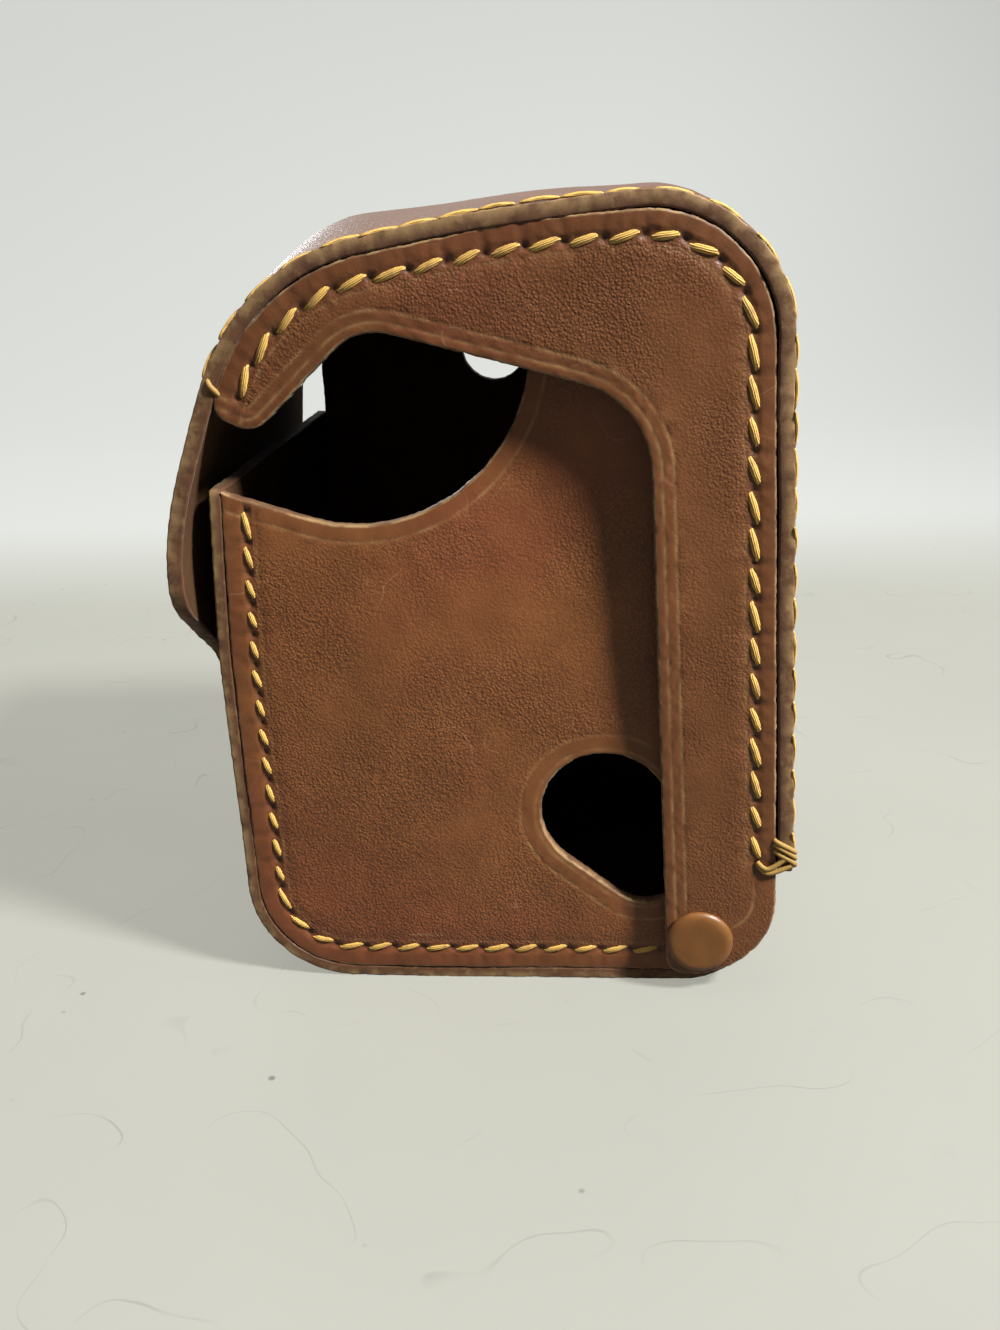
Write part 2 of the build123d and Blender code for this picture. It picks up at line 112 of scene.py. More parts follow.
CROWN_REAR = 1.0
FLAP_SEAM_Z = 52.3
FLAP_SIDE_Z = 59.2
FLAP_THROAT = (19.3, 46.7)
TONGUE_HALF = 14.0
FLAP_SIDE_R = 7.0
FLAP_THROAT_R = 11.0
CHEEK_FOOT = (27.2, 2.7)
CHEEK_SHOULDER = (25.3, 85.1)
CHEEK_ARCH = (-10.8, 95.5)
CHEEK_CHIN = (-25.25, 82.4)
CHEEK_TIP_R = 2.4
CHEEK_HEEL_R = 12.0
CHEEK_FOOT_R = 2.4
CHEEK_SHOULDER_R = 12.0
CHEEK_ARCH_R = 8.0
CHEEK_CHIN_R = 3.6
PIVOT = (31.8, 8.4)
STUD_Z = 34.2
COVER_SEAM_INSET = 5.2
BAND_SEAM_INSET = 0.75
COVER_PITCH = 4.77
BODY_SEAM_INSET = 5.0
BODY_PITCH = 4.24
SEAM_END_MARGIN = 3.0
SEAM_FOOT_MARGIN = 1.5
SEAM_RIVET_MARGIN = 5.5
STITCH_SLANT_DEG = 12
STITCH_SINK = 0.12
THREAD_RADIUS = 0.36
RIVET_CAP_R = 4.75
RIVET_CAP_RISE = 1.2
RIVET_POST_R = 2.0
RIVET_BORE_R = 1.1
PANEL_PIVOT_HOLE_R = 2.05
CHEEK_PIVOT_HOLE_R = 2.1
SNAP_CAP_R = 5.6
SNAP_CAP_RISE = 1.3
CAP_HEM = 0.35

# What differs between the near end (1) and the far end (-1): how full the front corner is, the
# height of the cheek's tip, the gap behind the cheek and the seeds of the hides' waves
FULLNESS = {1: 0.0, -1: 1.0}
TIP_Z = {1: 85.1, -1: 87.7}
REAR_GAP = {1: 0.22, -1: 0.0}
PANEL_SEEDS = {1: 21, -1: 31}
CHEEK_SEEDS = {1: 61, -1: 71}

# How far apart the points of a cut edge are: band, other outlines and holes
BAND_STEP = 0.6
EDGE_STEP = 0.55
HOLE_STEP = 0.5

# The line pressed beside each seam, and how far its thread puckers the leather
BODY_SHOULDER = -1.15
COVER_SHOULDER = 1.2
BODY_PULL = 1.7
COVER_PULL = 2.6
MARGIN_PAST_SEAM = 0.4

# The stitches up the front sit tighter than the rest, but for the last few before the mouth
FRONT_STITCH_SHARE = 0.8
TOP_STITCHES_Z = 63.0

# A turn of thread over the rim: how far beyond the side, how deep, how far back along the band
FOOT_TURN = (
    (-1.5, 0.4, 0.0), (-1.0, -0.12, 0.3), (-0.2, -0.22, 0.8), (0.2, 0.05, 1.3), (0.25, 1.1, 2.0),
    (0.12, 2.2, 2.6), (-0.3, 2.6, 2.9),
)
TIP_TURN = ((-0.4, 0.8, 0.0), (0.16, 1.0, 0.3), (0.26, 1.7, 0.8), (-0.3, 2.7, 1.4))

# How far the leather is bent out, and the middle and spread of the bend along Y and Z
PANEL_DISH = (-1.9, 10.0, 14.5, 82.0, 27.0)
CHEEK_BOW = (0.6, 25.5, 5.5, 64.0, 17.0)

# The side views are shifted along Y so that the case stands centred over the origin
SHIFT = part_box("body_band")[0].y / MM - FRONT_WALL_Y

# A cut edge from the face to the middle of the leather: how far in, and how deep
EDGE_PROFILE = ((0.36, 0.0), (0.17, 0.04), (0.05, 0.13), (0.0, 0.32))

# The photograph's camera: place in millimetres, angles in degrees, focal length in pixels
CAMERA_PLACE = (198.5, 21.14, 110.1)
CAMERA_DOWN = 19.928
CAMERA_YAW = -6.378
CAMERA_ROLL = -2.812
FOCAL_PIXELS = 1300.0
FRAME_HEIGHT = 1330.0
SENSOR = 36.0

# The stage in metres: the table's front, the wall's foot and top, and half the width
TABLE_FRONT = 0.7
WALL_X = -0.62
WALL_TOP = 0.9
SWEEP_R = 0.22
STAGE_HALF = 1.2

# How brightly the camera sees the table and the wall, and how much light they throw back
TABLE_GLOW = 0.67
WALL_GLOW = 0.77
THROWN_BACK = 0.2

# Each lamp's name, place, target, width in metres, power in watts and spread in degrees
LAMPS = (
    ("window", (0.31, 0.62, 0.72), (0, 0, 0.05), 0.16, 5.0, 80),
    ("ceiling", (-0.1, -0.1, 0.95), (0, 0, 0), 0.9, 3.2, 180),
)


def linear(code):
    """A colour written as sRGB hex, turned to linear."""
    values = [int(code[i:i + 2], 16) / 255 for i in (1, 3, 5)]
    return tuple(v / 12.92 if v <= 0.04045 else ((v + 0.055) / 1.055) ** 2.4 for v in values)


def colour_property(name, description, code):
    """A colour that the user can change."""
    return bpy.props.FloatVectorProperty(
        name=name, description=description, subtype="COLOR", size=3, min=0, max=1,
        default=linear(code),
    )


def length_property(name, description, millimetres):
    """A length that the user can change, kept in metres."""
    return bpy.props.FloatProperty(
        name=name, description=description, default=millimetres * MM, min=0,
        subtype="DISTANCE", unit="LENGTH", precision=5,
    )


class CaseSizes(bpy.types.PropertyGroup):
    """Sizes of the details that the leatherworker's tools leave."""

    wave: length_property("Unevenness", "How far the leather strays from flat", 0.12)
    crease_depth: length_property("Crease depth", "Depth of the lines pressed beside edges", 0.05)
    channel_depth: length_property("Stitching groove", "Depth of the groove under a seam", 0.16)
    hole_depth: length_property("Awl hole depth", "How deep the thread pulls each hole in", 0.32)
    edge_ragged: length_property("Ragged edge", "How far a cut edge strays from its line", 0.045)
    grain: length_property("Grain", "Width of one pebble of the leather's grain", 0.37)
    stitch_length: length_property("Stitch length", "Length of a stitch that shows", 4.25)
    stitch_width: length_property("Stitch width", "Width of a stitch", 1.05)
    stitch_height: length_property("Stitch height", "Thickness of the thread", 0.75)


class CaseColours(bpy.types.PropertyGroup):
    """Colours of the finishes."""

    tan: colour_property("Tan", "Face of the leather", "#764824")
    russet: colour_property("Russet", "Redder patches of the leather", "#723f22")
    # Umber also serves as painted shade in the grain's valleys, the grooves under seams, the awl
    # holes and the puckers
    umber: colour_property("Umber", "Burnished and creased leather", "#563018")
    edge: colour_property("Cut edge", "Burnished cut edge", "#4f301a")
    flesh: colour_property("Flesh side", "Inner side of the leather", "#4a3422")
    thread: colour_property("Thread", "Waxed linen thread", "#c09747")
    enamel: colour_property("Enamel", "Brown enamel of the caps", "#6c441d")
    floor: colour_property("Floor", "The table under the case", "#c4c4b8")
    wall: colour_property("Wall", "The wall behind the case", "#dcded9")


# Lines

def rounded_line(corners, radii, closed=False):
    """A line through corners, each rounded with its radius, as an array of points."""
    corners = [np.array(corner, float) for corner in corners]
    count = len(corners)
    points = [] if closed else [corners[0]]
    for i, radius in zip(range(0 if closed else 1, count if closed else count - 1), radii):
        before = corners[i - 1] - corners[i]
        after = corners[(i + 1) % count] - corners[i]
        before /= np.hypot(*before)
        after /= np.hypot(*after)
        half = math.acos(np.clip(before @ after, -1, 1)) / 2
        if radius <= 0:
            points.append(corners[i])
            continue
        bisector = (before + after) / np.hypot(*(before + after))
        centre = corners[i] + bisector * radius / math.sin(half)
        sweep = math.pi / 2 - half
        steps = max(4, int(sweep / math.radians(2)))
        side = before - bisector * (before @ bisector)
        side /= np.hypot(*side)
        for angle in np.linspace(sweep, -sweep, 2 * steps + 1):
            points.append(centre + radius * (side * math.sin(angle) - bisector * math.cos(angle)))
    if not closed:
        points.append(corners[-1])
    return np.array(points)


def looped(loop):
    """A closed loop with its first point again at the end."""
    return np.vstack((loop, loop[:1]))


def evenly(line, step, closed=False):
    """A line's points spaced evenly, about step apart."""
    if closed:
        line = looped(line)
    lengths = np.hypot(*np.diff(line, axis=0).T)
    line = line[np.append(True, lengths > 1e-9)]
    along = np.append(0, np.cumsum(lengths[lengths > 1e-9]))
    count = max(2, int(round(along[-1] / step)))
    places = np.linspace(0, along[-1], count + 1)
    if closed:
        places = np.linspace(0, along[-1], count, endpoint=False)
    return np.stack([np.interp(places, along, line[:, k]) for k in (0, 1)], axis=1)


def along_line(line, place):
    """The point at a share of a line's length, and the angle of the line there."""
    lengths = np.hypot(*np.diff(line, axis=0).T)
    along = np.append(0, np.cumsum(lengths))
    distance = place * along[-1]
    point = np.array([np.interp(distance, along, line[:, k]) for k in (0, 1)])
    i = min(int(np.searchsorted(along, distance, side="right")) - 1, len(lengths) - 1)
    way = line[i + 1] - line[i]
    return point, math.atan2(way[1], way[0])


def inset(corners, distance):
    """An open line of corners, moved to its right-hand side by distance."""
    corners = np.array(corners, float)
    ways = np.diff(corners, axis=0)
    ways /= np.hypot(*ways.T)[:, None]
    normals = np.stack((ways[:, 1], -ways[:, 0]), axis=1)
    moved = [corners[0] + normals[0] * distance]
    for i in range(1, len(corners) - 1):
        middle = normals[i - 1] + normals[i]
        moved.append(corners[i] + middle * distance * 2 / (middle @ middle))
    moved.append(corners[-1] + normals[-1] * distance)
    return moved


def at_height(low, high, z):
    """The point at height z on the straight line through two points."""
    share = (z - low[1]) / (high[1] - low[1])
    return (low[0] + (high[0] - low[0]) * share, z)


def body_line(distance):
    """The lower band from the top of the rear wall round to the top of the front wall."""
    corners = [
        (REAR_WALL_Y, REAR_WALL_TOP), (REAR_WALL_Y, 0), (FRONT_WALL_Y, 0),
        (FRONT_WALL_Y, LEAN_START_Z), (FRONT_WALL_Y + FRONT_WALL_LEAN, FRONT_WALL_TOP),
    ]
    return inset(corners, distance), [radius - distance for radius in BODY_RADII]


def cover_line(distance, fullness=0.0, crown=0.0):
    """The cover's strip from the end of the tongue up the flap, over the top and down."""
    front = [a + (b - a) * fullness for a, b in zip(NEAR_CORNER, FAR_CORNER)]
    radius = NEAR_CORNER_R + (FAR_CORNER_R - NEAR_CORNER_R) * fullness
    corners = [
        TONGUE_END, TONGUE_KNEE, FLAP_KNEE, (front[0], front[1] + CROWN * crown),
        (TOP_BEND[0], TOP_BEND[1] + CROWN_REAR * crown), REAR_TOP, REAR_FOOT,
    ]
    radii = [TONGUE_KNEE_R, FLAP_KNEE_R, radius, TOP_BEND_R, REAR_TOP_R]
    return inset(corners, distance), [value - distance for value in radii]


def line_distance(points, line):
    """How far each point is from a line."""
    return runs_distance(points, line[:-1], np.diff(line, axis=0))


def runs_distance(points, starts, ways):
    """How far each point is from the nearest of many straight runs."""
    squares = np.maximum((ways ** 2).sum(1), 1e-12)
    nearest = np.empty(len(points))
    block = 1500
    for first in range(0, len(points), block):
        gaps = points[first:first + block, None, :] - starts
        shares = np.clip((gaps * ways).sum(2) / squares, 0, 1)
        gaps = gaps - shares[..., None] * ways
        nearest[first:first + block] = np.sqrt((gaps ** 2).sum(2).min(1))
    return nearest


def inside(points, loop):
    """Whether each point is inside a closed loop."""
    x0, y0 = loop.T
    x1, y1 = np.roll(loop, -1, axis=0).T
    result = np.zeros(len(points), bool)
    block = 1500
    for first in range(0, len(points), block):
        x, y = (points[first:first + block, k, None] for k in (0, 1))
        spans = (y0 > y) != (y1 > y)
        rise = np.where(y1 == y0, 1, y1 - y0)
        crossings = spans & (x < x0 + (y - y0) * (x1 - x0) / rise)
        result[first:first + block] = crossings.sum(1) % 2 == 1
    return result


def within(points, loops):
    """Whether each point is inside the first loop and outside the rest, which are holes."""
    keep = inside(points, loops[0])
    for hole in loops[1:]:
        keep &= ~inside(points, hole)
    return keep


def bell(distance, width, power=2):
    """1 at no distance, falling to nothing over the width."""
    return np.exp(-(distance / width) ** power)


def ripple(points, length, seed):
    """A smooth random field between about -1 and 1 that changes over the given length."""
    draw = np.random.default_rng(seed)
    total = np.zeros(len(points))
    waves = 7
    for _ in range(waves):
        turn = draw.uniform(0, 2 * math.pi)
        way = np.array([math.cos(turn), math.sin(turn)]) * 2 * math.pi / length
        total += np.sin(points @ way * draw.uniform(0.6, 1.6) + draw.uniform(0, 2 * math.pi))
    return total / math.sqrt(waves)


def softened(loop, passes):
    """A closed loop with its sharp corners worn round."""
    for _ in range(passes):
        loop = (np.roll(loop, 1, axis=0) + 2 * loop + np.roll(loop, -1, axis=0)) / 4
    return loop


def loop_normals(loop, is_hole):
    """Unit directions from a closed loop into the leather."""
    ways = np.roll(loop, -1, axis=0) - np.roll(loop, 1, axis=0)
    normals = np.stack((-ways[:, 1], ways[:, 0]), axis=1)
    normals /= np.hypot(*normals.T)[:, None]
    area = (loop[:, 0] * np.roll(loop[:, 1], -1) - np.roll(loop[:, 0], -1) * loop[:, 1]).sum()
    return normals if (area > 0) != is_hole else -normals


def free_reach(loop, normals, reach):
    """The share of reach that each point of a loop can be moved in by without the line crossing
    itself: less in sharp corners."""
    closed = looped(loop)
    share = np.ones(len(loop))
    for _ in range(9):
        ring = loop + normals * (reach * share)[:, None]
        tight = line_distance(ring, closed) < 0.72 * reach * share
        share[tight] *= 0.75
        share = np.minimum(share, (np.roll(share, 1) + share + np.roll(share, -1)) / 3 + 0.02)
    return share


# Leather

class Hide:
    """The marks on one piece of leather: seams, creases and smooth margins, on its flat shape."""

    def __init__(self, sizes, seed):
        self.sizes = sizes
        self.seed = seed
        self.creases = []
        self.margins = []
        self.channels = []
        self.holes = []
        self.puckers = []
        self.guides = []

    def crease(self, edge, offsets, margin):
        """Lines pressed at offsets from an edge, with a smooth margin along the edge."""
        self.creases.append((edge, offsets))
        self.margins.append((edge, margin))
        for offset in offsets:
            for row in np.arange(-0.6, 0.61, 0.2):
                for side in (-1, 1):
                    self.guides.append(moved(evenly(edge, 0.7), side * (offset + row)))

    def seam(self, line, holes, shoulder, puckers=None):
        """A groove under a seam, its awl holes, the line pressed beside it, and the puckers that
        the thread pulls from each hole to the edge."""
        self.channels.append((line, shoulder))
        self.holes.append(np.array(holes))
        if puckers is not None:
            self.puckers.append((np.array(holes), np.array(puckers)))
        for row in np.arange(-1.5, 1.6, 0.3):
            self.guides.append(moved(evenly(line, 0.42), row))

    def heights(self, points):
        """How far the face is sunk or raised at each point, and its margin, dark and pale
        masks. The dark mask is painted shade in the grooves under seams, in the awl holes and
        in the puckers; the pale mask is painted highlight along pressed lines and shoulders."""
        sizes = self.sizes
        height = np.zeros(len(points))
        margin = np.zeros(len(points))
        dark = np.zeros(len(points))
        pale = np.zeros(len(points))
        for edge, offsets in self.creases:
            distance = line_distance(points, edge)
            for offset in offsets:
                line = bell(distance - offset, 0.24)
                height -= sizes.crease_depth / MM * line
                # Painted highlight along each pressed line
                pale = np.maximum(pale, 0.6 * bell(distance - offset, 0.2))
        for edge, width in self.margins:
            distance = line_distance(points, edge)
            margin = np.maximum(margin, 1 / (1 + np.exp((distance - width) / 0.35)))
        for line, shoulder in self.channels:
            distance = line_distance(points, line)
            height -= sizes.channel_depth / MM * bell(distance, 0.75, 4)
            pressed = bell(line_distance(points, shoulder), 0.2)
            height -= 0.6 * sizes.channel_depth / MM * pressed
            # Painted highlight along the pressed shoulder, and painted shade in the groove under
            # the seam
            pale = np.maximum(pale, 0.4 * pressed)
            dark = np.maximum(dark, 0.3 * bell(distance, 0.65))
        for holes in self.holes:
            distance = cloud_distance(points, holes)
            height -= sizes.hole_depth / MM * bell(distance, 0.42)
            # Painted shade in the awl holes
            dark = np.maximum(dark, 1.1 * bell(distance, 0.34))
        for starts, ways in self.puckers:
            pulled = bell(runs_distance(points, starts, ways), 0.5)
            height -= 0.28 * sizes.hole_depth / MM * pulled
            # Painted shade in the puckers
            dark = np.maximum(dark, 0.2 * pulled)
        height += (0.03 * ripple(points, 2.3, self.seed + 7)
                   + 0.02 * ripple(points, 1.1, self.seed + 8))
        return height, margin, dark, pale

    def wave(self, points):
        """How far the whole piece strays from flat."""
        return self.sizes.wave / MM * ripple(points, 34.0, self.seed + 3)


def cloud_distance(points, cloud):
    """How far each point is from the nearest point of a cloud."""
    tree = KDTree(len(cloud))
    for number, (x, y) in enumerate(cloud):
        tree.insert((x, y, 0), number)
    tree.balance()
    return np.array([tree.find((x, y, 0))[2] for x, y in points])


def moved(line, distance):
    """An open line moved sideways by distance."""
    ways = np.gradient(line, axis=0)
    lengths = np.maximum(np.hypot(*ways.T), 1e-9)[:, None]
    return line + np.stack((-ways[:, 1], ways[:, 0]), axis=1) / lengths * distance


def thinned(points, apart, clear_of=None):
    """Points with those left out that are nearer than apart to an earlier one."""
    kept = []
    cells = {}
    start = [] if clear_of is None else list(clear_of)
    for number, point in enumerate(start + list(points)):
        cell = (int(math.floor(point[0] / apart)), int(math.floor(point[1] / apart)))
        near = [
            other
            for i in (-1, 0, 1) for j in (-1, 0, 1)
            for other in cells.get((cell[0] + i, cell[1] + j), ())
        ]
        is_start = number < len(start)
        if not is_start and any(
            (point[0] - x) ** 2 + (point[1] - y) ** 2 < apart ** 2 for x, y in near
        ):
            continue
        cells.setdefault(cell, []).append((point[0], point[1]))
        if not is_start:
            kept.append(point)
    return np.array(kept).reshape(-1, 2)


def spread(loops, guides, spacing, seed):
    """Points inside the loops: the guides' points first, then an even scatter between."""
    low, high = loops[0].min(0), loops[0].max(0)
    rows = np.arange(low[1], high[1], spacing * 0.87)
    scatter = []
    for number, row in enumerate(rows):
        places = np.arange(low[0] + (number % 2) * spacing / 2, high[0], spacing)
        scatter.append(np.stack((places, np.full(len(places), row)), axis=1))
    scatter = np.vstack(scatter)
    scatter += np.random.default_rng(seed).uniform(-0.12, 0.12, scatter.shape) * spacing
    groups = []
    for points in (np.vstack(guides) if guides else np.zeros((0, 2)), scatter):
        if len(points):
            points = points[within(points, loops)]
        groups.append(points)
    fine = groups[0]
    for loop in loops:
        if len(fine):
            fine = fine[line_distance(fine, looped(loop)) > 0.3]
        groups[1] = groups[1][line_distance(groups[1], looped(loop)) > spacing * 0.45]
    fine = thinned(fine, 0.17)
    coarse = thinned(groups[1], spacing * 0.5, fine) if len(fine) else groups[1]
    return np.vstack((fine, coarse)) if len(fine) else coarse


def filled(loops, points):
    """Triangles between the loops, over their points and the points inside. The points are
    numbered loop by loop first."""
    corners = [tuple(point) for loop in loops for point in loop] + [tuple(p) for p in points]
    edges = []
    first = 0
    for loop in loops:
        count = len(loop)
        edges += [(first + i, first + (i + 1) % count) for i in range(count)]
        first += count
    made, _, faces, originals, _, _ = delaunay_2d_cdt(
        [Vector(corner) for corner in corners], edges, [], 0, 1e-6)
    number = [original[0] if original else -1 for original in originals]
    if -1 in number:
        raise RuntimeError("an outline of the leather crosses itself")
    places = np.array([tuple(point) for point in made])
    triangles = np.array(faces)
    keep = within(places[triangles].mean(1), loops)
    return np.array(number)[triangles[keep]]


def store(mesh, key, values, kind="FLOAT"):
    """Keep a number, or with FLOAT_VECTOR three, for each point of a mesh."""
    field = "value" if kind == "FLOAT" else "vector"
    mesh.attributes.new(key, kind, "POINT").data.foreach_set(
        field, np.array(values, np.float32).ravel())


def in_scene(name, data):
    """An object for its data, put in the scene."""
    obj = bpy.data.objects.new(name, data)
    bpy.context.scene.collection.objects.link(obj)
    return obj


def final_mesh(obj):
    """The mesh that an object ends as. The object itself is removed."""
    depsgraph = bpy.context.evaluated_depsgraph_get()
    depsgraph.update()
    mesh = bpy.data.meshes.new_from_object(obj.evaluated_get(depsgraph), depsgraph=depsgraph)
    bpy.data.objects.remove(obj)
    return mesh


def leather_piece(name, loops, thickness, place, hide, material, spacing=1.5, butt=None):
    """A piece of leather cut to its loops, the outline first and then its holes, with rounded,
    slightly ragged cut edges. place gives where a point of the flat shape lies at a depth. Along
    butt, where it meets the next piece, its edge is square and clean."""
    sizes = hide.sizes
    ragged = sizes.edge_ragged / MM
    rims = []
    for number, loop in enumerate(loops):
        loop = softened(loop, 2) if butt is None else loop
        normals = loop_normals(loop, number > 0)
        stray = ragged * (
            ripple(loop, 3.1, hide.seed + number) + 0.6 * ripple(loop, 1.3, hide.seed))
        if butt is not None:
            stray *= np.clip(line_distance(loop, butt) / 0.8, 0, 1)
        loop = loop - normals * np.minimum(stray, 0.4 * ragged)[:, None]
        share = free_reach(loop, normals, EDGE_PROFILE[0][0])
        if butt is not None:
            share *= np.clip(line_distance(loop, butt) / 0.8, 0, 1)
        rims.append((loop, normals * share[:, None]))
    steps = list(EDGE_PROFILE)
    steps += [(inward, thickness - depth) for inward, depth in reversed(EDGE_PROFILE)]
    flat, depths, cut, worn = [], [], [], []
    rings = []
    for loop, normals in rims:
        ring_starts = []
        for inward, depth in steps:
            ring_starts.append(sum(len(part) for part in flat))
            middle = 0 < depth < thickness
            fine = 0.035 * ripple(loop * (1 + 0.1 * depth), 0.9, hide.seed + 5) if middle else 0
            flat.append(loop + normals * (inward + np.reshape(fine, (-1, 1))))
            depths.append(np.full(len(loop), depth))
            cut.append(np.full(len(loop), 1.0 if middle and inward < 0.2 else 0.0))
            # 1 on the rounded corner of the cut edge at the grain side, painted pale there: rubbed
            # wear and a painted highlight
            worn.append(np.full(len(loop), 1.0 if 0 < depth < 0.25 * thickness else 0.0))
        rings.append((ring_starts, len(loop)))
    faces = []
    for ring_starts, count in rings:
        for a, b in zip(ring_starts, ring_starts[1:]):
            faces += [(a + i, a + (i + 1) % count, b + (i + 1) % count, b + i)
                      for i in range(count)]
    for front in (True, False):
        inward = EDGE_PROFILE[0][0]
        borders = [loop + normals * inward for loop, normals in rims]
        guides = hide.guides if front else []
        points = spread(borders, guides, spacing if front else spacing * 1.6, hide.seed)
        triangles = filled(borders, points)
        ring = 0 if front else len(steps) - 1
        lookup = np.concatenate(
            [np.arange(count) + starts[ring] for starts, count in rings]
            + [np.arange(len(points)) + sum(len(part) for part in flat)])
        faces += [tuple(triangle) for triangle in lookup[triangles]]
        flat.append(points)
        depths.append(np.full(len(points), 0.0 if front else thickness))
        cut.append(np.zeros(len(points)))
        worn.append(np.zeros(len(points)))
    flat, depths, cut = np.vstack(flat), np.concatenate(depths), np.concatenate(cut)
    height, margin, dark, pale = hide.heights(flat)
    corner = np.concatenate(worn)
    on_face = np.clip(1 - depths / 0.6, 0, 1)
    placed = place(flat, depths - height * on_face + hide.wave(flat))
    mesh = bpy.data.meshes.new(name)
    mesh.from_pydata((placed * MM).tolist(), [], faces)
    values = {
        # dark carries painted shade; pale carries painted highlights, and on the cut edge's top
        # corner rubbed wear with a painted highlight
        "cut": cut, "margin": margin * on_face, "dark": dark * on_face,
        "pale": np.maximum(pale * on_face, corner),
        "flesh": np.clip((depths - thickness + 0.3) / 0.2, 0, 1) * (1 - cut),
    }
    for key, numbers in values.items():
        store(mesh, key, numbers)
    store(mesh, "rest", placed * MM, "FLOAT_VECTOR")
    piece = finished(name, mesh, material)
    inner = values["flesh"] > 0.5
    for polygon in piece.data.polygons:
        if all(inner[number] for number in polygon.vertices):
            polygon.material_index = 1
    piece.data.materials.append(shared_material("flesh side"))
    return piece


def finished(name, mesh, material):
    """An object for a closed mesh, with its faces outwards and smooth."""
    solid = bmesh.new()
    solid.from_mesh(mesh)
    bmesh.ops.recalc_face_normals(solid, faces=solid.faces)
    solid.to_mesh(mesh)
    solid.free()
    mesh.polygons.foreach_set("use_smooth", np.ones(len(mesh.polygons), bool))
    mesh.set_sharp_from_angle(angle=math.radians(62))
    mesh.materials.clear()
    mesh.materials.append(material)
    return in_scene(name, mesh)


def side_place(face_x, side, bulge):
    """Where the points of a flat side view lie, on a face at face_x at one end of the case. bulge
    has how far the leather is bent out, and the bend's middle and spread along Y and Z."""
    out, y, spread_y, z, spread_z = bulge

    def place(flat, depths):
        bend = out * np.exp(
            -((flat[:, 0] - y) / spread_y) ** 2 - ((flat[:, 1] - z) / spread_z) ** 2)
        return np.stack((side * (face_x - depths + bend), flat[:, 0] + SHIFT, flat[:, 1]), axis=1)
    return place


class Strip:
    """A bent strip of leather. Its flat shape has the length along the strip from the start of
    its line, and the place across the case."""

    def __init__(self, line_at, half, anchors=()):
        self.across = np.linspace(-half, half, 47)
        lines = [rounded_line(*line_at(x)) for x in self.across]
        lengths = [np.append(0, np.cumsum(np.hypot(*np.diff(line, axis=0).T))) for line in lines]
        marks = []
        for line, along in zip(lines, lengths):
            spots = [along[np.argmin(np.hypot(*(line - anchor).T))] for anchor in anchors]
            marks.append([0.0] + spots + [along[-1]])
        marks = np.array(marks)
        reference = marks[len(marks) // 2]
        self.length = reference[-1]
        self.along = np.linspace(0, self.length, int(self.length / 0.5) + 1)
        grid = np.empty((len(self.along), len(self.across), 3))
        for j, (line, along) in enumerate(zip(lines, lengths)):
            local = np.interp(self.along, reference, marks[j])
            grid[:, j, 0] = self.across[j]
            for k in (0, 1):
                grid[:, j, k + 1] = np.interp(local, along, line[:, k])
        self.grid = grid
        forward, sideways = np.gradient(grid, axis=0), np.gradient(grid, axis=1)
        outward = np.cross(sideways, forward)
        self.outward = outward / np.linalg.norm(outward, axis=2)[..., None]

    def at(self, table, flat):
        """A table's values at points of the flat shape."""
        row = np.clip(flat[:, 0] / self.along[1], 0, len(self.along) - 1.001)
        column = np.clip(
            (flat[:, 1] - self.across[0]) / (self.across[1] - self.across[0]),
            0, len(self.across) - 1.001)
        i, j = row.astype(int), column.astype(int)
        a, b = (row - i)[:, None], (column - j)[:, None]
        low = table[i, j] * (1 - a) + table[i + 1, j] * a
        high = table[i, j + 1] * (1 - a) + table[i + 1, j + 1] * a
        return low * (1 - b) + high * b

    def place(self, flat, depths):
        """Where points of the flat shape lie, in the case's frame."""
        ends = np.clip(flat[:, 0], 0, self.length)
        inner = np.stack((ends, flat[:, 1]), axis=1)
        outward = self.at(self.outward, inner)
        points = self.at(self.grid, inner) - outward * depths[:, None]
        points[:, 1] += SHIFT
        return points

    def along_at(self, point):
        """How far along the strip the nearest place to a point of the side view is, at the
        near edge."""
        line = self.grid[:, -1, 1:]
        return self.along[np.argmin(np.hypot(*(line - point).T))]


def cover_shape(x):
    """The cover's side view across the case, with the top's swell."""
    share = np.clip(x / CHEEK_INNER_X, -1, 1)
    return cover_line(0.0, (1 - share) / 2, 1 - share ** 2)


def sideways(side):
    """+1 at the near end and -1 at the far end, as a word for names."""
    return "near" if side > 0 else "far"


def stitch_places(line, pitch, first_z=0.0):
    """Where each stitch of a seam sits and its direction."""
    lengths = np.hypot(*np.diff(line, axis=0).T)
    count = int(lengths.sum() // pitch)
    places = []
    for number in range(count):
        point, angle = along_line(line, (number + 0.5) / count)
        if not places and point[1] < first_z:
            continue
        places.append((point, angle))
    return places


def awl_holes(places, pitch):
    """The hole at each end of every stitch."""
    holes = []
    for point, angle in places:
        way = np.array([math.cos(angle), math.sin(angle)]) * pitch / 2
        holes += [point - way, point + way]
    return holes


def pulls(places, reach):
    """The run from each awl hole towards the edge, along which the thread puckers the leather."""
    ways = []
    for _, angle in places:
        ways += [(-math.sin(angle) * reach, math.cos(angle) * reach)] * 2
    return ways


def cover_seam(side):
    """The line and the stitches of a cheek's seam, in the side view."""
    corners, radii = cover_line(COVER_SEAM_INSET, FULLNESS[side])
    end = at_height(corners[6], corners[5], REAR_FOOT[1] + SEAM_FOOT_MARGIN)
    line = rounded_line(corners[2:6] + [end], radii[2:])
    return line, stitch_places(line, COVER_PITCH, TIP_Z[side] + SEAM_END_MARGIN)


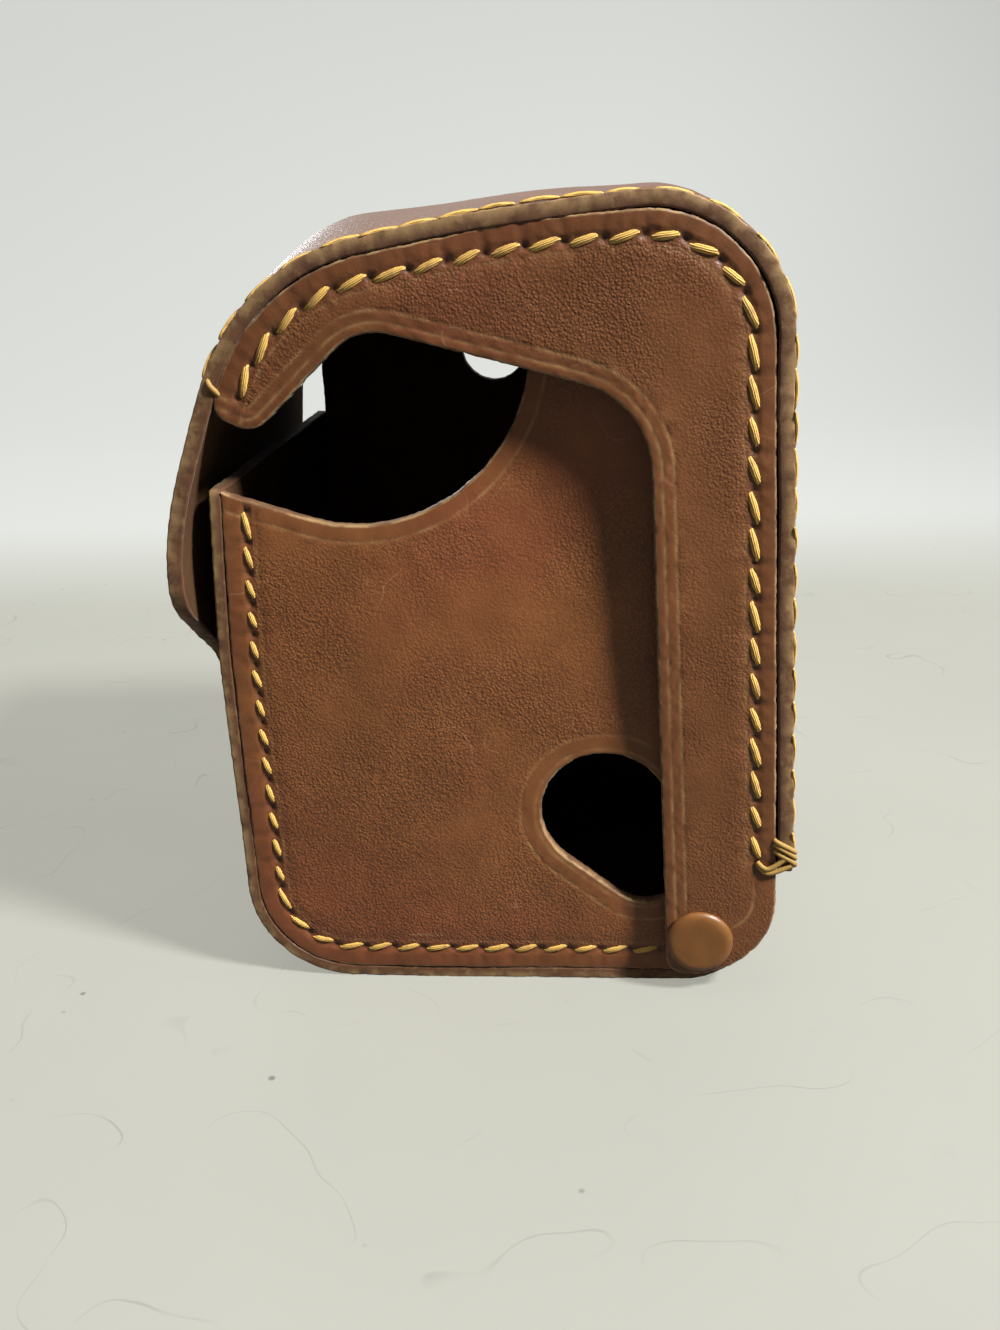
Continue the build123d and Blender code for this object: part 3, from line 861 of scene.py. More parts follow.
def body_seams():
    """The lines and the stitches of an end panel's two seams, in the side view."""
    (_, rear, front, lean, wall_top), radii = body_line(BODY_SEAM_INSET)
    start = (PIVOT[0] - SEAM_RIVET_MARGIN, rear[1])
    end = at_height(lean, wall_top, FRONT_WALL_TOP - SEAM_END_MARGIN)
    lower = rounded_line([start, front, lean, end], radii[1:])
    upper = rounded_line([
        (rear[0], REAR_WALL_TOP - SEAM_END_MARGIN), (rear[0], PIVOT[1] + SEAM_RIVET_MARGIN)], [])
    return [(line, stitch_places(line, BODY_PITCH)) for line in (upper, lower)]


def cover_shoulder(side):
    """The line pressed beside a cheek's seam."""
    corners, radii = cover_line(COVER_SEAM_INSET + COVER_SHOULDER, FULLNESS[side])
    return rounded_line(corners[2:], radii[2:])


def on_circle(centre, radius, turns):
    """A circle's points at the given angles."""
    return np.array(centre) + radius * np.stack((np.cos(turns), np.sin(turns)), axis=1)


def circle(centre, radius):
    """A circle's points."""
    return on_circle(centre, radius, np.linspace(0, 2 * math.pi, 120, endpoint=False))


def lobe_loop():
    """The tilted egg-shaped hole: two circles and the lines that touch both."""
    large, small = np.array(LOBE), np.array(LOBE_END)
    gap = small - large
    lean = math.acos((LOBE_R - LOBE_END_R) / np.hypot(*gap))
    bearing = math.atan2(gap[1], gap[0])
    wide = np.linspace(bearing + lean, bearing - lean + 2 * math.pi, 90)
    tight = np.linspace(bearing - lean, bearing + lean, 60)
    return np.vstack((on_circle(large, LOBE_R, wide), on_circle(small, LOBE_END_R, tight)))


def panel_outline(near):
    """An end panel's outline, and the edge of its large cut-out if it has one."""
    corners, radii = body_line(BAND_LEATHER)
    (_, rear, front, lean, wall_top) = corners
    if not near:
        points = [
            (rear[0], PANEL_TOP_Z), rear, front, lean, wall_top,
            (wall_top[0], PANEL_BROW[1]), (PANEL_BROW[0], PANEL_TOP_Z),
        ]
        all_radii = [PANEL_REAR_TOP_R] + radii + [0] + list(PANEL_BROW_RADII)
        return rounded_line(points, all_radii, closed=True), None
    corner = np.array((FRONT_WALL_Y, FRONT_WALL_TOP + CUTOUT_CORNER_RISE))
    reach = corner - np.array(CUTOUT)
    bearing = math.atan2(reach[1], reach[0]) + math.acos(CUTOUT_R / np.hypot(*reach))
    end = math.asin((PANEL_TOP_Z - CUTOUT[1]) / CUTOUT_R)
    turns = np.linspace(bearing, end if end > bearing else end + 2 * math.pi, 120)
    arc = on_circle(CUTOUT, CUTOUT_R, turns)
    start = corner + (arc[0] - corner) * (wall_top[0] - corner[0]) / (arc[0][0] - corner[0])
    cutout = np.vstack((start, arc))
    rest = rounded_line(
        [tuple(arc[-1]), (rear[0], PANEL_TOP_Z), rear, front, lean, wall_top],
        [PANEL_REAR_TOP_R] + radii)
    return np.vstack((cutout, rest[1:])), cutout


def cheek_outline(side):
    """A cheek's outline, and its inner edge from the foot to the chin."""
    corners, radii = cover_line(COVER_LEATHER, FULLNESS[side])
    _, _, knee, front, bend, rear_top, rear_foot = corners
    tip = at_height(knee, front, TIP_Z[side])
    heel = at_height(rear_foot, rear_top, CHEEK_FOOT[1])
    rear_top, heel = ((y - REAR_GAP[side], z) for y, z in (rear_top, heel))
    inner = [CHEEK_FOOT, CHEEK_SHOULDER, CHEEK_ARCH, CHEEK_CHIN]
    inner_radii = [CHEEK_SHOULDER_R, CHEEK_ARCH_R, CHEEK_CHIN_R]
    outline = rounded_line(
        [tip, front, bend, rear_top, heel] + inner,
        [CHEEK_TIP_R] + radii[2:] + [CHEEK_HEEL_R, CHEEK_FOOT_R] + inner_radii, closed=True)
    foot = (CHEEK_FOOT[0] + 0.1, CHEEK_FOOT[1] + 6)
    inner_edge = rounded_line([foot] + inner[1:] + [tip], inner_radii)
    return outline, inner_edge


def straight(start, end, across):
    """A line along a strip, at one place across it."""
    return np.array([(start, across), (end, across)])


def make_body(sizes, leather):
    """The lower case: its band and its two end panels."""
    strip = Strip(lambda x: body_line(0.0), BODY_HALF)
    hide = Hide(sizes, 11)
    outline = np.array([
        (0.15, -BODY_HALF), (strip.length, -BODY_HALF), (strip.length, BODY_HALF), (0.15, BODY_HALF)
    ])
    edges = evenly(outline, BAND_STEP, closed=True)
    for side in (-1, 1):
        hide.crease(straight(0.0, strip.length, side * BODY_HALF), (3.2,), 2.0)
    top = np.array([(strip.length, -BODY_HALF), (strip.length, BODY_HALF)])
    hide.crease(top, (2.2,), 1.6)

    def standing(flat, depths):
        points = strip.place(flat, depths)
        points[:, 2] = np.maximum(points[:, 2], 0)
        return points

    band = leather_piece(
        "front_and_rear_walls", [edges], BAND_LEATHER, standing, hide, leather, 1.9)
    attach(band, "case_body")
    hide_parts("body_band")
    for side in (1, -1):
        near = side > 0
        hide = Hide(sizes, PANEL_SEEDS[side])
        outline, cutout = panel_outline(near)
        loops = [
            evenly(outline, EDGE_STEP, closed=True),
            evenly(circle(PIVOT, PANEL_PIVOT_HOLE_R), HOLE_STEP, closed=True),
        ]
        openings = [lobe_loop()] if near else [circle(FAR_HOLE, FAR_HOLE_R)]
        for opening in openings:
            loops.append(evenly(opening, HOLE_STEP, closed=True))
            hide.crease(looped(opening), (0.8, 2.9) if near else (2.2,), 2.9)
        if cutout is not None:
            hide.crease(cutout, (2.3,), 2.6)
        for line, places in body_seams():
            hide.seam(
                line, awl_holes(places, BODY_PITCH), moved(line, BODY_SHOULDER),
                pulls(places, BODY_PULL))
        outer = rounded_line(*body_line(BAND_LEATHER))
        hide.margins.append((outer, BODY_SEAM_INSET - BAND_LEATHER + MARGIN_PAST_SEAM))
        panel = leather_piece(
            f"{sideways(side)}_end_leather", loops, PANEL_LEATHER,
            side_place(BODY_HALF, side, PANEL_DISH), hide, leather)
        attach(panel, "case_body")
        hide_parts(f"{sideways(side)}_end_panel")


def make_cover(sizes, leather, bloomed):
    """The cover's band, its cheeks, the flap and the tongue."""
    strip = Strip(cover_shape, COVER_HALF, anchors=(FLAP_KNEE, TOP_BEND))
    seam_start = strip.along_at(np.array(at_height(TONGUE_KNEE, FLAP_KNEE, FLAP_SEAM_Z)))
    foot = strip.length
    hide = Hide(sizes, 41)
    flap_side = strip.along_at(np.array((TONGUE_KNEE[0], FLAP_SIDE_Z)))
    throat = strip.along_at(np.array((TONGUE_KNEE[0], FLAP_THROAT[1])))
    seam_half = at_height(
        (FLAP_THROAT[0], throat), (COVER_HALF, flap_side), seam_start)[0]
    outline = rounded_line(
        [(seam_start, -seam_half), (flap_side, -COVER_HALF), (foot, -COVER_HALF),
         (foot, COVER_HALF), (flap_side, COVER_HALF), (seam_start, seam_half)],
        [0, FLAP_SIDE_R, 1.0, 1.0, FLAP_SIDE_R, 0], closed=True)
    for side in (-1, 1):
        hide.margins.append((straight(seam_start - 5, foot, side * COVER_HALF), 2.6))
        _, places = cover_seam(side)
        across = side * (COVER_HALF - BAND_SEAM_INSET)
        seam_from = strip.along_at(places[0][0])
        holes = []
        for point, _ in places:
            along = strip.along_at(point)
            holes += [(along + end * COVER_PITCH / 2, across) for end in (-1, 1)]
        shoulder = straight(seam_from, foot, side * (COVER_HALF - 2.9))
        hide.seam(straight(seam_from, foot, across), holes, shoulder)
    butt = np.array([(seam_start, -seam_half), (seam_start, seam_half)])
    band = leather_piece(
        "cover_leather", [evenly(outline, BAND_STEP, closed=True)], COVER_LEATHER, strip.place,
        hide, bloomed, 1.9, butt)
    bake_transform(band)
    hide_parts("cover_band")
    hide = Hide(sizes, 41)
    corners = [(seam_start, seam_half), (throat, FLAP_THROAT[0]), (0.0, TONGUE_HALF)]
    mirrored = [(along, -x) for along, x in reversed(corners)]
    radii = [FLAP_THROAT_R] * 4
    outline = rounded_line(corners + mirrored, [0] + radii + [0], closed=True)
    hide.crease(rounded_line(corners + mirrored, radii), (2.4,), 2.0)
    flap = leather_piece(
        "flap_and_tongue_leather", [evenly(outline, EDGE_STEP, closed=True)], COVER_LEATHER,
        strip.place, hide, bloomed, 1.5, butt)
    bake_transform(flap)
    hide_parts("front_flap", "snap_tongue")
    for side in (1, -1):
        hide = Hide(sizes, CHEEK_SEEDS[side])
        outline, inner_edge = cheek_outline(side)
        hide.crease(inner_edge, (1.3, 2.8), 2.9)
        line, places = cover_seam(side)
        hide.seam(
            line, awl_holes(places, COVER_PITCH), cover_shoulder(side),
            pulls(places, COVER_PULL))
        heel = rounded_line([(39.4, 17.2), (39.4, 12.4), (35.9, 10.2)], [5.0])
        hide.crease(heel, (0.0,), 0.4)
        outer = rounded_line(*cover_line(COVER_LEATHER, FULLNESS[side]))
        hide.margins.append((outer, COVER_SEAM_INSET - COVER_LEATHER + MARGIN_PAST_SEAM))
        loops = [
            evenly(outline, EDGE_STEP, closed=True),
            evenly(circle(PIVOT, CHEEK_PIVOT_HOLE_R), HOLE_STEP, closed=True),
        ]
        cheek = leather_piece(
            f"{sideways(side)}_cheek_leather", loops, CHEEK_LEATHER,
            side_place(COVER_HALF, side, CHEEK_BOW), hide, leather)
        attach(cheek, "cover")
        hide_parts(f"{sideways(side)}_cheek")


# Materials

def feed(tree, node, inputs):
    """Give a node its inputs, as links or values."""
    for socket, value in inputs:
        if isinstance(value, bpy.types.NodeSocket):
            tree.links.new(value, node.inputs[socket])
        else:
            node.inputs[socket].default_value = value


def add(tree, kind, inputs=(), **settings):
    """A node with its settings and inputs."""
    node = tree.nodes.new(kind)
    for key, value in settings.items():
        setattr(node, key, value)
    feed(tree, node, inputs)
    return node


def new_material(name):
    """An empty material with its shader and output."""
    material = bpy.data.materials.new(name)
    material.use_nodes = True
    tree = material.node_tree
    tree.nodes.clear()
    shader = add(tree, "ShaderNodeBsdfPrincipled")
    add(tree, "ShaderNodeOutputMaterial", [("Surface", shader.outputs["BSDF"])])
    return material, tree, shader


def opaque(colour):
    """A colour with full alpha."""
    return (*colour, 1.0)


def dyed(colour, strength):
    """A colour made darker or lighter, with full alpha."""
    return opaque([strength * v for v in colour])


def blend_colour(tree, share, first, second, mode="MIX"):
    """Two colours mixed by a share."""
    node = add(tree, "ShaderNodeMix", [(0, share), (6, first), (7, second)],
               data_type="RGBA", blend_type=mode)
    return node.outputs[2]


def steps_between(tree, value, low, high):
    """A value turned to 0 at low and 1 at high, smoothly."""
    node = add(tree, "ShaderNodeMapRange", [
        ("Value", value), ("From Min", low), ("From Max", high)],
        interpolation_type="SMOOTHSTEP")
    return node.outputs["Result"]


def calculated(tree, operation, *values):
    """One step of arithmetic."""
    node = add(tree, "ShaderNodeMath", list(enumerate(values)), operation=operation)
    return node.outputs[0]


def ranged(tree, value, low, high, start=0.0, end=1.0):
    """A value between start and end, turned in proportion to one between low and high."""
    return add(tree, "ShaderNodeMapRange", [
        ("Value", value), ("From Min", start), ("From Max", end), ("To Min", low),
        ("To Max", high)]).outputs["Result"]


def clouded(tree, place, scale, detail, roughness=0.5):
    """Random values that change smoothly from place to place."""
    return add(tree, "ShaderNodeTexNoise", [
        ("Vector", place), ("Scale", scale), ("Detail", detail), ("Roughness", roughness),
    ]).outputs["Fac"]


def bumped(tree, height, strength, millimetres, inputs=()):
    """The directions that a surface faces when a height roughens it."""
    return add(tree, "ShaderNodeBump", [
        ("Strength", strength), ("Distance", millimetres * MM), ("Height", height), *inputs,
    ]).outputs["Normal"]


def hairlines(tree, noise, narrow, zone):
    """Thin curved lines where a random value passes its middle, kept to a zone."""
    contour = calculated(tree, "ABSOLUTE", calculated(tree, "SUBTRACT", noise, 0.5))
    return calculated(tree, "MULTIPLY", steps_between(tree, contour, 0.0045, narrow), zone)


def bridle_leather(name, sizes, colours, depth, bloom=0.16):
    """Vegetable-tanned cowhide, dyed saddle brown, glazed and old. Its fine pebbled grain has
    painted glints on the tops of the pebbles and painted shade in the valleys between them, the
    margins that were burnished are smooth and darker, and the cut edges are worn to a dull
    grey-brown. Grooves under seams, awl holes and puckers get painted shade; pressed lines get
    painted highlights, and the top corners of cut edges are paled by wear and a painted
    highlight. The flesh side is dark and nearly matt. depth is the strength of the dye, 1 for the
    lighter hide, and bloom that of the pale wax and dust that show at a glancing angle."""
    material, tree, shader = new_material(name)
    place = add(tree, "ShaderNodeAttribute", attribute_name="rest").outputs["Vector"]
    masks = {
        key: add(tree, "ShaderNodeAttribute", attribute_name=key).outputs["Fac"]
        for key in ("cut", "margin", "dark", "pale", "flesh")
    }

    def noise(scale, detail, vector=place):
        return clouded(tree, vector, scale, detail, 0.55)

    warp = add(tree, "ShaderNodeTexNoise", [
        ("Vector", place), ("Scale", 1 / (1.7 * MM)), ("Detail", 2.0)])
    bent = add(tree, "ShaderNodeMix", [(0, 0.00035), (4, place), (5, warp.outputs["Color"])],
               data_type="VECTOR").outputs[1]
    pebble = add(tree, "ShaderNodeTexVoronoi", [
        ("Vector", bent), ("Scale", 1 / sizes.grain), ("Randomness", 0.95)],
        feature="SMOOTH_F1")
    pebble.inputs["Smoothness"].default_value = 0.22
    pebbles = pebble.outputs["Distance"]
    valley = steps_between(tree, pebbles, 0.28, 0.62)

    patches = noise(1 / (26 * MM), 3.0)
    blotches = noise(1 / (7 * MM), 4.0)
    colour = blend_colour(
        tree, steps_between(tree, patches, 0.38, 0.66), dyed(colours.tan, depth),
        dyed(colours.russet, depth))
    shade = blend_colour(tree, steps_between(tree, blotches, 0.3, 0.75), (0.86, 0.86, 0.86, 1),
                         (1.12, 1.11, 1.1, 1))
    colour = blend_colour(tree, 1.0, colour, shade, "MULTIPLY")
    rough_skin = calculated(tree, "SUBTRACT", 1.0, masks["margin"])
    grain_zone = steps_between(tree, noise(1 / (18 * MM), 2.0), 0.3, 0.6)
    grain_zone = calculated(tree, "MULTIPLY_ADD", grain_zone, 0.65, 0.35)
    grain = calculated(tree, "MULTIPLY", rough_skin, grain_zone)
    for key in ("cut", "flesh"):
        grain = calculated(tree, "MULTIPLY", grain, calculated(tree, "SUBTRACT", 1.0, masks[key]))
    # Painted shade in the valleys between the pebbles of the grain
    valley_shade = calculated(tree, "MULTIPLY", valley, calculated(tree, "MULTIPLY", grain, 0.62))
    colour = blend_colour(tree, valley_shade, colour, opaque(colours.umber))
    # Painted glints: the tops of the pebbles made lighter
    painted_glints = calculated(tree, "MULTIPLY", grain, steps_between(tree, pebbles, 0.3, 0.08))
    colour = blend_colour(
        tree, calculated(tree, "MULTIPLY", painted_glints, 0.42), colour, dyed(colours.tan, 1.7))
    colour = blend_colour(
        tree, calculated(tree, "MULTIPLY", masks["margin"], 0.32), colour, opaque(colours.umber))
    # Painted shade: the dark mask, in the grooves under seams, the awl holes and the puckers
    colour = blend_colour(
        tree, calculated(tree, "MINIMUM", masks["dark"], 0.92), colour,
        dyed(colours.umber, 0.4))

    stretched = add(tree, "ShaderNodeMapping", [
        ("Vector", place), ("Rotation", (0.5, 0.3, 0.4)), ("Scale", (1.0, 0.06, 1.0))],
        vector_type="POINT").outputs["Vector"]
    scuff = steps_between(tree, noise(1 / (1.1 * MM), 1.0, stretched), 0.72, 0.80)
    worn = steps_between(tree, noise(1 / (14 * MM), 2.0), 0.52, 0.7)
    scuff = calculated(tree, "MULTIPLY", scuff, worn)
    hairline = hairlines(tree, noise(1 / (11 * MM), 1.0), 0.002, worn)
    scuff = calculated(tree, "MAXIMUM", scuff, calculated(tree, "MULTIPLY", hairline, 0.7))
    colour = blend_colour(
        tree, calculated(tree, "MULTIPLY", scuff, 0.25), colour, opaque(linear("#b98f6d")))

    fibre = noise(1 / (0.4 * MM), 3.0)
    streaks = noise(1 / (1.6 * MM), 2.0)
    edge_colour = blend_colour(
        tree, steps_between(tree, fibre, 0.3, 0.7), dyed(colours.edge, 0.91),
        dyed(colours.edge, 1.07))
    edge_colour = blend_colour(
        tree, calculated(tree, "MULTIPLY", steps_between(tree, streaks, 0.52, 0.7), 0.13),
        edge_colour, opaque(linear("#a48a56")))
    colour = blend_colour(tree, masks["cut"], colour, edge_colour)
    # Painted highlights from the pale mask along pressed lines and shoulders; on the cut edge's top
    # corner, rubbed wear and a painted highlight; in patches
    rubbed_and_lit = steps_between(tree, noise(1 / (2.6 * MM), 4.0), 0.36, 0.62)
    colour = blend_colour(
        tree, calculated(tree, "MULTIPLY", masks["pale"], calculated(
            tree, "MULTIPLY_ADD", rubbed_and_lit, 0.42, 0.08)), colour, opaque(linear("#a98a5c")))
    flesh_colour = blend_colour(
        tree, blotches, dyed(colours.flesh, 0.7),
        dyed(colours.flesh, 1.3))
    colour = blend_colour(tree, masks["flesh"], colour, flesh_colour)

    rough = ranged(tree, blotches, 0.4, 0.52, 0.25, 0.75)
    rough = calculated(tree, "ADD", rough, calculated(tree, "MULTIPLY", masks["cut"], 0.2))
    rough = calculated(tree, "ADD", rough, calculated(tree, "MULTIPLY", masks["flesh"], 0.35))

    dome = calculated(tree, "SUBTRACT", 1.0, pebbles)
    dome = calculated(tree, "MULTIPLY", dome, calculated(tree, "MULTIPLY_ADD", grain, 0.9, 0.1))
    pores = bumped(tree, dome, 1.0, 0.11)
    feed(tree, shader, [
        ("Base Color", colour), ("Roughness", rough),
        ("Normal", bumped(tree, fibre, 0.35, 0.05, [("Normal", pores)])),
        ("IOR", 1.48), ("Specular IOR Level", 0.36),
        ("Sheen Weight", bloom), ("Sheen Roughness", 0.35),
        ("Coat Weight", 0.06), ("Coat Roughness", 0.36),
    ])
    return material


def flesh_side(colours):
    """The unglazed inner side of the hide: dark and matt, with a short nap in soft clouds."""
    material, tree, shader = new_material("Bridle leather, flesh side")
    place = add(tree, "ShaderNodeAttribute", attribute_name="rest").outputs["Vector"]
    clouds = clouded(tree, place, 1 / (6 * MM), 4.0)
    nap = clouded(tree, place, 1 / (0.35 * MM), 3.0)
    colour = blend_colour(
        tree, clouds, dyed(colours.flesh, 0.7),
        dyed(colours.flesh, 1.25))
    shade = blend_colour(tree, nap, (0.8, 0.8, 0.8, 1), (1.15, 1.15, 1.15, 1))
    feed(tree, shader, [
        ("Base Color", blend_colour(tree, 1.0, colour, shade, "MULTIPLY")),
        ("Roughness", ranged(tree, nap, 0.85, 1.0)),
        ("Normal", bumped(tree, nap, 0.5, 0.08)), ("Specular IOR Level", 0.08),
    ])
    return material


def waxed_linen(colours):
    """Linen thread drawn through beeswax. Its fibres lie along it as fine ridges with painted
    shade in the grooves between them and a little grime in clouds, and the wax gives a soft shine."""
    material, tree, shader = new_material("Waxed linen thread")
    strand = add(tree, "ShaderNodeAttribute", attribute_name="strand").outputs["Vector"]
    place = add(tree, "ShaderNodeTexCoord").outputs["Object"]
    plies = add(tree, "ShaderNodeTexWave", [
        ("Vector", strand), ("Scale", 1.3), ("Distortion", 2.4), ("Detail", 2.0),
        ("Detail Scale", 1.2)],
        wave_type="BANDS", bands_direction="Y").outputs["Fac"]
    grime = clouded(tree, place, 1 / (1.4 * MM), 3.0)
    light = [min(1.0, 1.12 * value) for value in colours.thread]
    # Painted shade in the grooves between the plies, the ridges a little lighter
    colour = blend_colour(
        tree, steps_between(tree, plies, 0.0, 0.6), dyed(colours.thread, 0.55), opaque(light))
    colour = blend_colour(
        tree, steps_between(tree, grime, 0.5, 0.8), colour, opaque(linear("#94703e")))
    feed(tree, shader, [
        ("Base Color", colour), ("Normal", bumped(tree, plies, 0.6, 0.1)), ("Roughness", 0.75)])
    return material


def stoved_enamel(colours):
    """Brown enamel baked on brass caps: smooth, with a soft gloss, a few fine rub marks and a
    darker film of dirt."""
    material, tree, shader = new_material("Stoved enamel, brown")
    place = add(tree, "ShaderNodeTexCoord").outputs["Object"]
    film = clouded(tree, place, 1 / (3.0 * MM), 4.0)
    colour = blend_colour(
        tree, steps_between(tree, film, 0.3, 0.7), dyed(colours.enamel, 0.85),
        dyed(colours.enamel, 1.12))
    feed(tree, shader, [
        ("Base Color", colour), ("Roughness", ranged(tree, film, 0.26, 0.5)),
        ("Normal", bumped(tree, film, 0.25, 0.05)),
    ])
    return material


def dull_metal(name, code, roughness):
    """Stamped or drawn metal, handled and gone dull, with blurred highlights and tarnish."""
    material, tree, shader = new_material(name)
    place = add(tree, "ShaderNodeTexCoord").outputs["Object"]
    tarnish = clouded(tree, place, 1 / (1.5 * MM), 5.0)
    colour = linear(code)
    mixed = blend_colour(
        tree, steps_between(tree, tarnish, 0.35, 0.7), opaque(colour),
        dyed(colour, 0.55))
    rough = ranged(tree, tarnish, roughness - 0.08, roughness + 0.15)
    feed(tree, shader, [("Base Color", mixed), ("Metallic", 1.0), ("Roughness", rough)])
    return material


# Thread

def enabled_output(node):
    """The one output that a node shows for its data type."""
    return [socket for socket in node.outputs if socket.enabled][0]


def stitch_tree():
    """Geometry Nodes that lay one stitch on each point of a seam. Each point carries the
    stitch's direction, the way out of the leather and its share of the seam's stitch length."""
    tree = bpy.data.node_groups.new("Saddle stitches", "GeometryNodeTree")
    sockets = tree.interface
    sockets.new_socket("Points", in_out="INPUT", socket_type="NodeSocketGeometry")
    for name, value in (("Length", 0.0036), ("Width", 0.0011), ("Height", 0.0008),
                        ("Turn", 0.07), ("Uneven", 0.1)):
        socket = sockets.new_socket(name, in_out="INPUT", socket_type="NodeSocketFloat")
        socket.default_value = value
    sockets.new_socket("Seed", in_out="INPUT", socket_type="NodeSocketInt")
    sockets.new_socket("Thread", in_out="INPUT", socket_type="NodeSocketMaterial")
    sockets.new_socket("Stitches", in_out="OUTPUT", socket_type="NodeSocketGeometry")
    given = add(tree, "NodeGroupInput").outputs
    grain = add(tree, "GeometryNodeMeshUVSphere", [("Segments", 8), ("Rings", 9), ("Radius", 0.5)])
    lying = add(tree, "GeometryNodeTransform", [
        ("Geometry", grain.outputs["Mesh"]), ("Rotation", (0, math.pi / 2, 0))])
    marked = add(tree, "GeometryNodeStoreNamedAttribute", [
        ("Geometry", lying.outputs["Geometry"]), ("Name", "strand"),
        ("Value", add(tree, "GeometryNodeInputPosition").outputs["Position"])],
        data_type="FLOAT_VECTOR", domain="POINT")
    split = add(tree, "ShaderNodeSeparateXYZ", [
        ("Vector", add(tree, "GeometryNodeInputPosition").outputs["Position"])])
    square = calculated(tree, "MULTIPLY", split.outputs["X"], split.outputs["X"])
    dip = calculated(tree, "MULTIPLY", square, -1.7)
    radius = calculated(tree, "MAXIMUM", 0.02, calculated(
        tree, "SQRT", calculated(tree, "SUBTRACT", 0.2501, square)))
    fuller = calculated(tree, "SUBTRACT", calculated(
        tree, "POWER", calculated(tree, "MULTIPLY", radius, 2.0), -0.45), 1.0)
    turn = calculated(tree, "MULTIPLY", split.outputs["X"], 0.35)
    sway = calculated(tree, "SINE", calculated(tree, "MULTIPLY", split.outputs["X"], 5.0))
    across = calculated(tree, "MULTIPLY", sway, calculated(tree, "ABSOLUTE", turn))
    offset = add(tree, "ShaderNodeCombineXYZ", [
        ("Y", calculated(tree, "MULTIPLY_ADD", split.outputs["Y"], fuller, across)),
        ("Z", calculated(tree, "MULTIPLY_ADD", split.outputs["Z"], fuller, dip))])
    shaped = add(tree, "GeometryNodeSetPosition", [
        ("Geometry", marked.outputs["Geometry"]), ("Offset", offset.outputs["Vector"])])
    facing = add(tree, "FunctionNodeAxesToRotation", [
        ("Primary Axis", add(tree, "GeometryNodeInputNamedAttribute", [("Name", "outward")],
                             data_type="FLOAT_VECTOR").outputs["Attribute"]),
        ("Secondary Axis", add(tree, "GeometryNodeInputNamedAttribute", [("Name", "along")],
                               data_type="FLOAT_VECTOR").outputs["Attribute"])],
        primary_axis="Z", secondary_axis="X")
    uneven = add(tree, "FunctionNodeRandomValue", [
        ("Min", calculated(tree, "SUBTRACT", 1.0, given["Uneven"])),
        ("Max", calculated(tree, "ADD", 1.0, given["Uneven"])), ("Seed", given["Seed"])],
        data_type="FLOAT")
    share = add(tree, "GeometryNodeInputNamedAttribute", [("Name", "share")],
                data_type="FLOAT").outputs["Attribute"]
    length = calculated(tree, "MULTIPLY", given["Length"], enabled_output(uneven))
    size = add(tree, "ShaderNodeCombineXYZ", [
        ("X", calculated(tree, "MULTIPLY", length, share)),
        ("Y", given["Width"]), ("Z", given["Height"])])
    laid = add(tree, "GeometryNodeInstanceOnPoints", [
        ("Points", given["Points"]), ("Instance", shaped.outputs["Geometry"]),
        ("Rotation", facing.outputs["Rotation"]), ("Scale", size.outputs["Vector"])])
    lean = add(tree, "FunctionNodeRandomValue", [
        ("Min", calculated(tree, "MULTIPLY", given["Turn"], -1.0)), ("Max", given["Turn"]),
        ("Seed", calculated(tree, "ADD", given["Seed"], 5.0))], data_type="FLOAT")
    angle = enabled_output(lean)
    spun = add(tree, "GeometryNodeRotateInstances", [
        ("Instances", laid.outputs["Instances"]),
        ("Rotation", add(tree, "ShaderNodeCombineXYZ", [("Z", angle)]).outputs["Vector"])])
    real = add(tree, "GeometryNodeRealizeInstances", [("Geometry", spun.outputs["Instances"])])
    smooth = add(tree, "GeometryNodeSetShadeSmooth", [("Geometry", real.outputs["Geometry"])])
    painted = add(tree, "GeometryNodeSetMaterial", [
        ("Geometry", smooth.outputs["Geometry"]), ("Material", given["Thread"])])
    add(tree, "NodeGroupOutput", [("Stitches", painted.outputs["Geometry"])])
    return tree


def sewn(name, places, tree, values, shares=None):
    """Stitches laid on points, each with its place, direction and way out, as a plain mesh.
    shares has each stitch's part of the full length."""
    mesh = bpy.data.meshes.new(name + "_points")
    mesh.from_pydata([place for place, _, _ in places], [], [])
    store(mesh, "share", shares or [1.0] * len(places))
    for number, key in ((1, "along"), (2, "outward")):
        store(mesh, key, [row[number] for row in places], "FLOAT_VECTOR")
    seam = in_scene(name + "_points", mesh)
    modifier = seam.modifiers.new("Stitches", "NODES")
    modifier.node_group = tree
    for item in tree.interface.items_tree:
        if item.in_out == "INPUT" and item.name in values:
            modifier[item.identifier] = values[item.name]
    made = final_mesh(seam)
    made.name = name
    return in_scene(name, made)


def face_rows(face_x, side, hide, places):
    """A seam's stitches on the face of an end: each one's place, which follows the unevenness
    of the leather, its slanted direction and the way out."""
    rows = []
    for (y, z), angle in places:
        depth = STITCH_SINK + hide.wave(np.array([[y, z]]))[0]
        spot = Vector((side * (face_x - depth), y + SHIFT, z)) * MM
        slant = angle + math.radians(STITCH_SLANT_DEG)
        rows.append((spot, (0.0, math.cos(slant), math.sin(slant)), (side, 0.0, 0.0)))
    return rows


def rim_rows(strip, side, places):
    """The stitches along the rim of the cover's band, opposite those of the cheek's seam."""
    rows = []
    for point, _ in places:
        along = strip.along_at(point)
        across = side * (COVER_HALF - BAND_SEAM_INSET)
        flat = np.array([[along, across], [along + 4, across - 0.5 * side]])
        spots = strip.place(flat, np.zeros(2))
        out = strip.at(strip.outward, flat[:1])[0]
        way = (spots[1] - spots[0]) / np.linalg.norm(spots[1] - spots[0])
        rows.append((Vector(spots[0]) * MM, tuple(way), tuple(out)))
    return rows


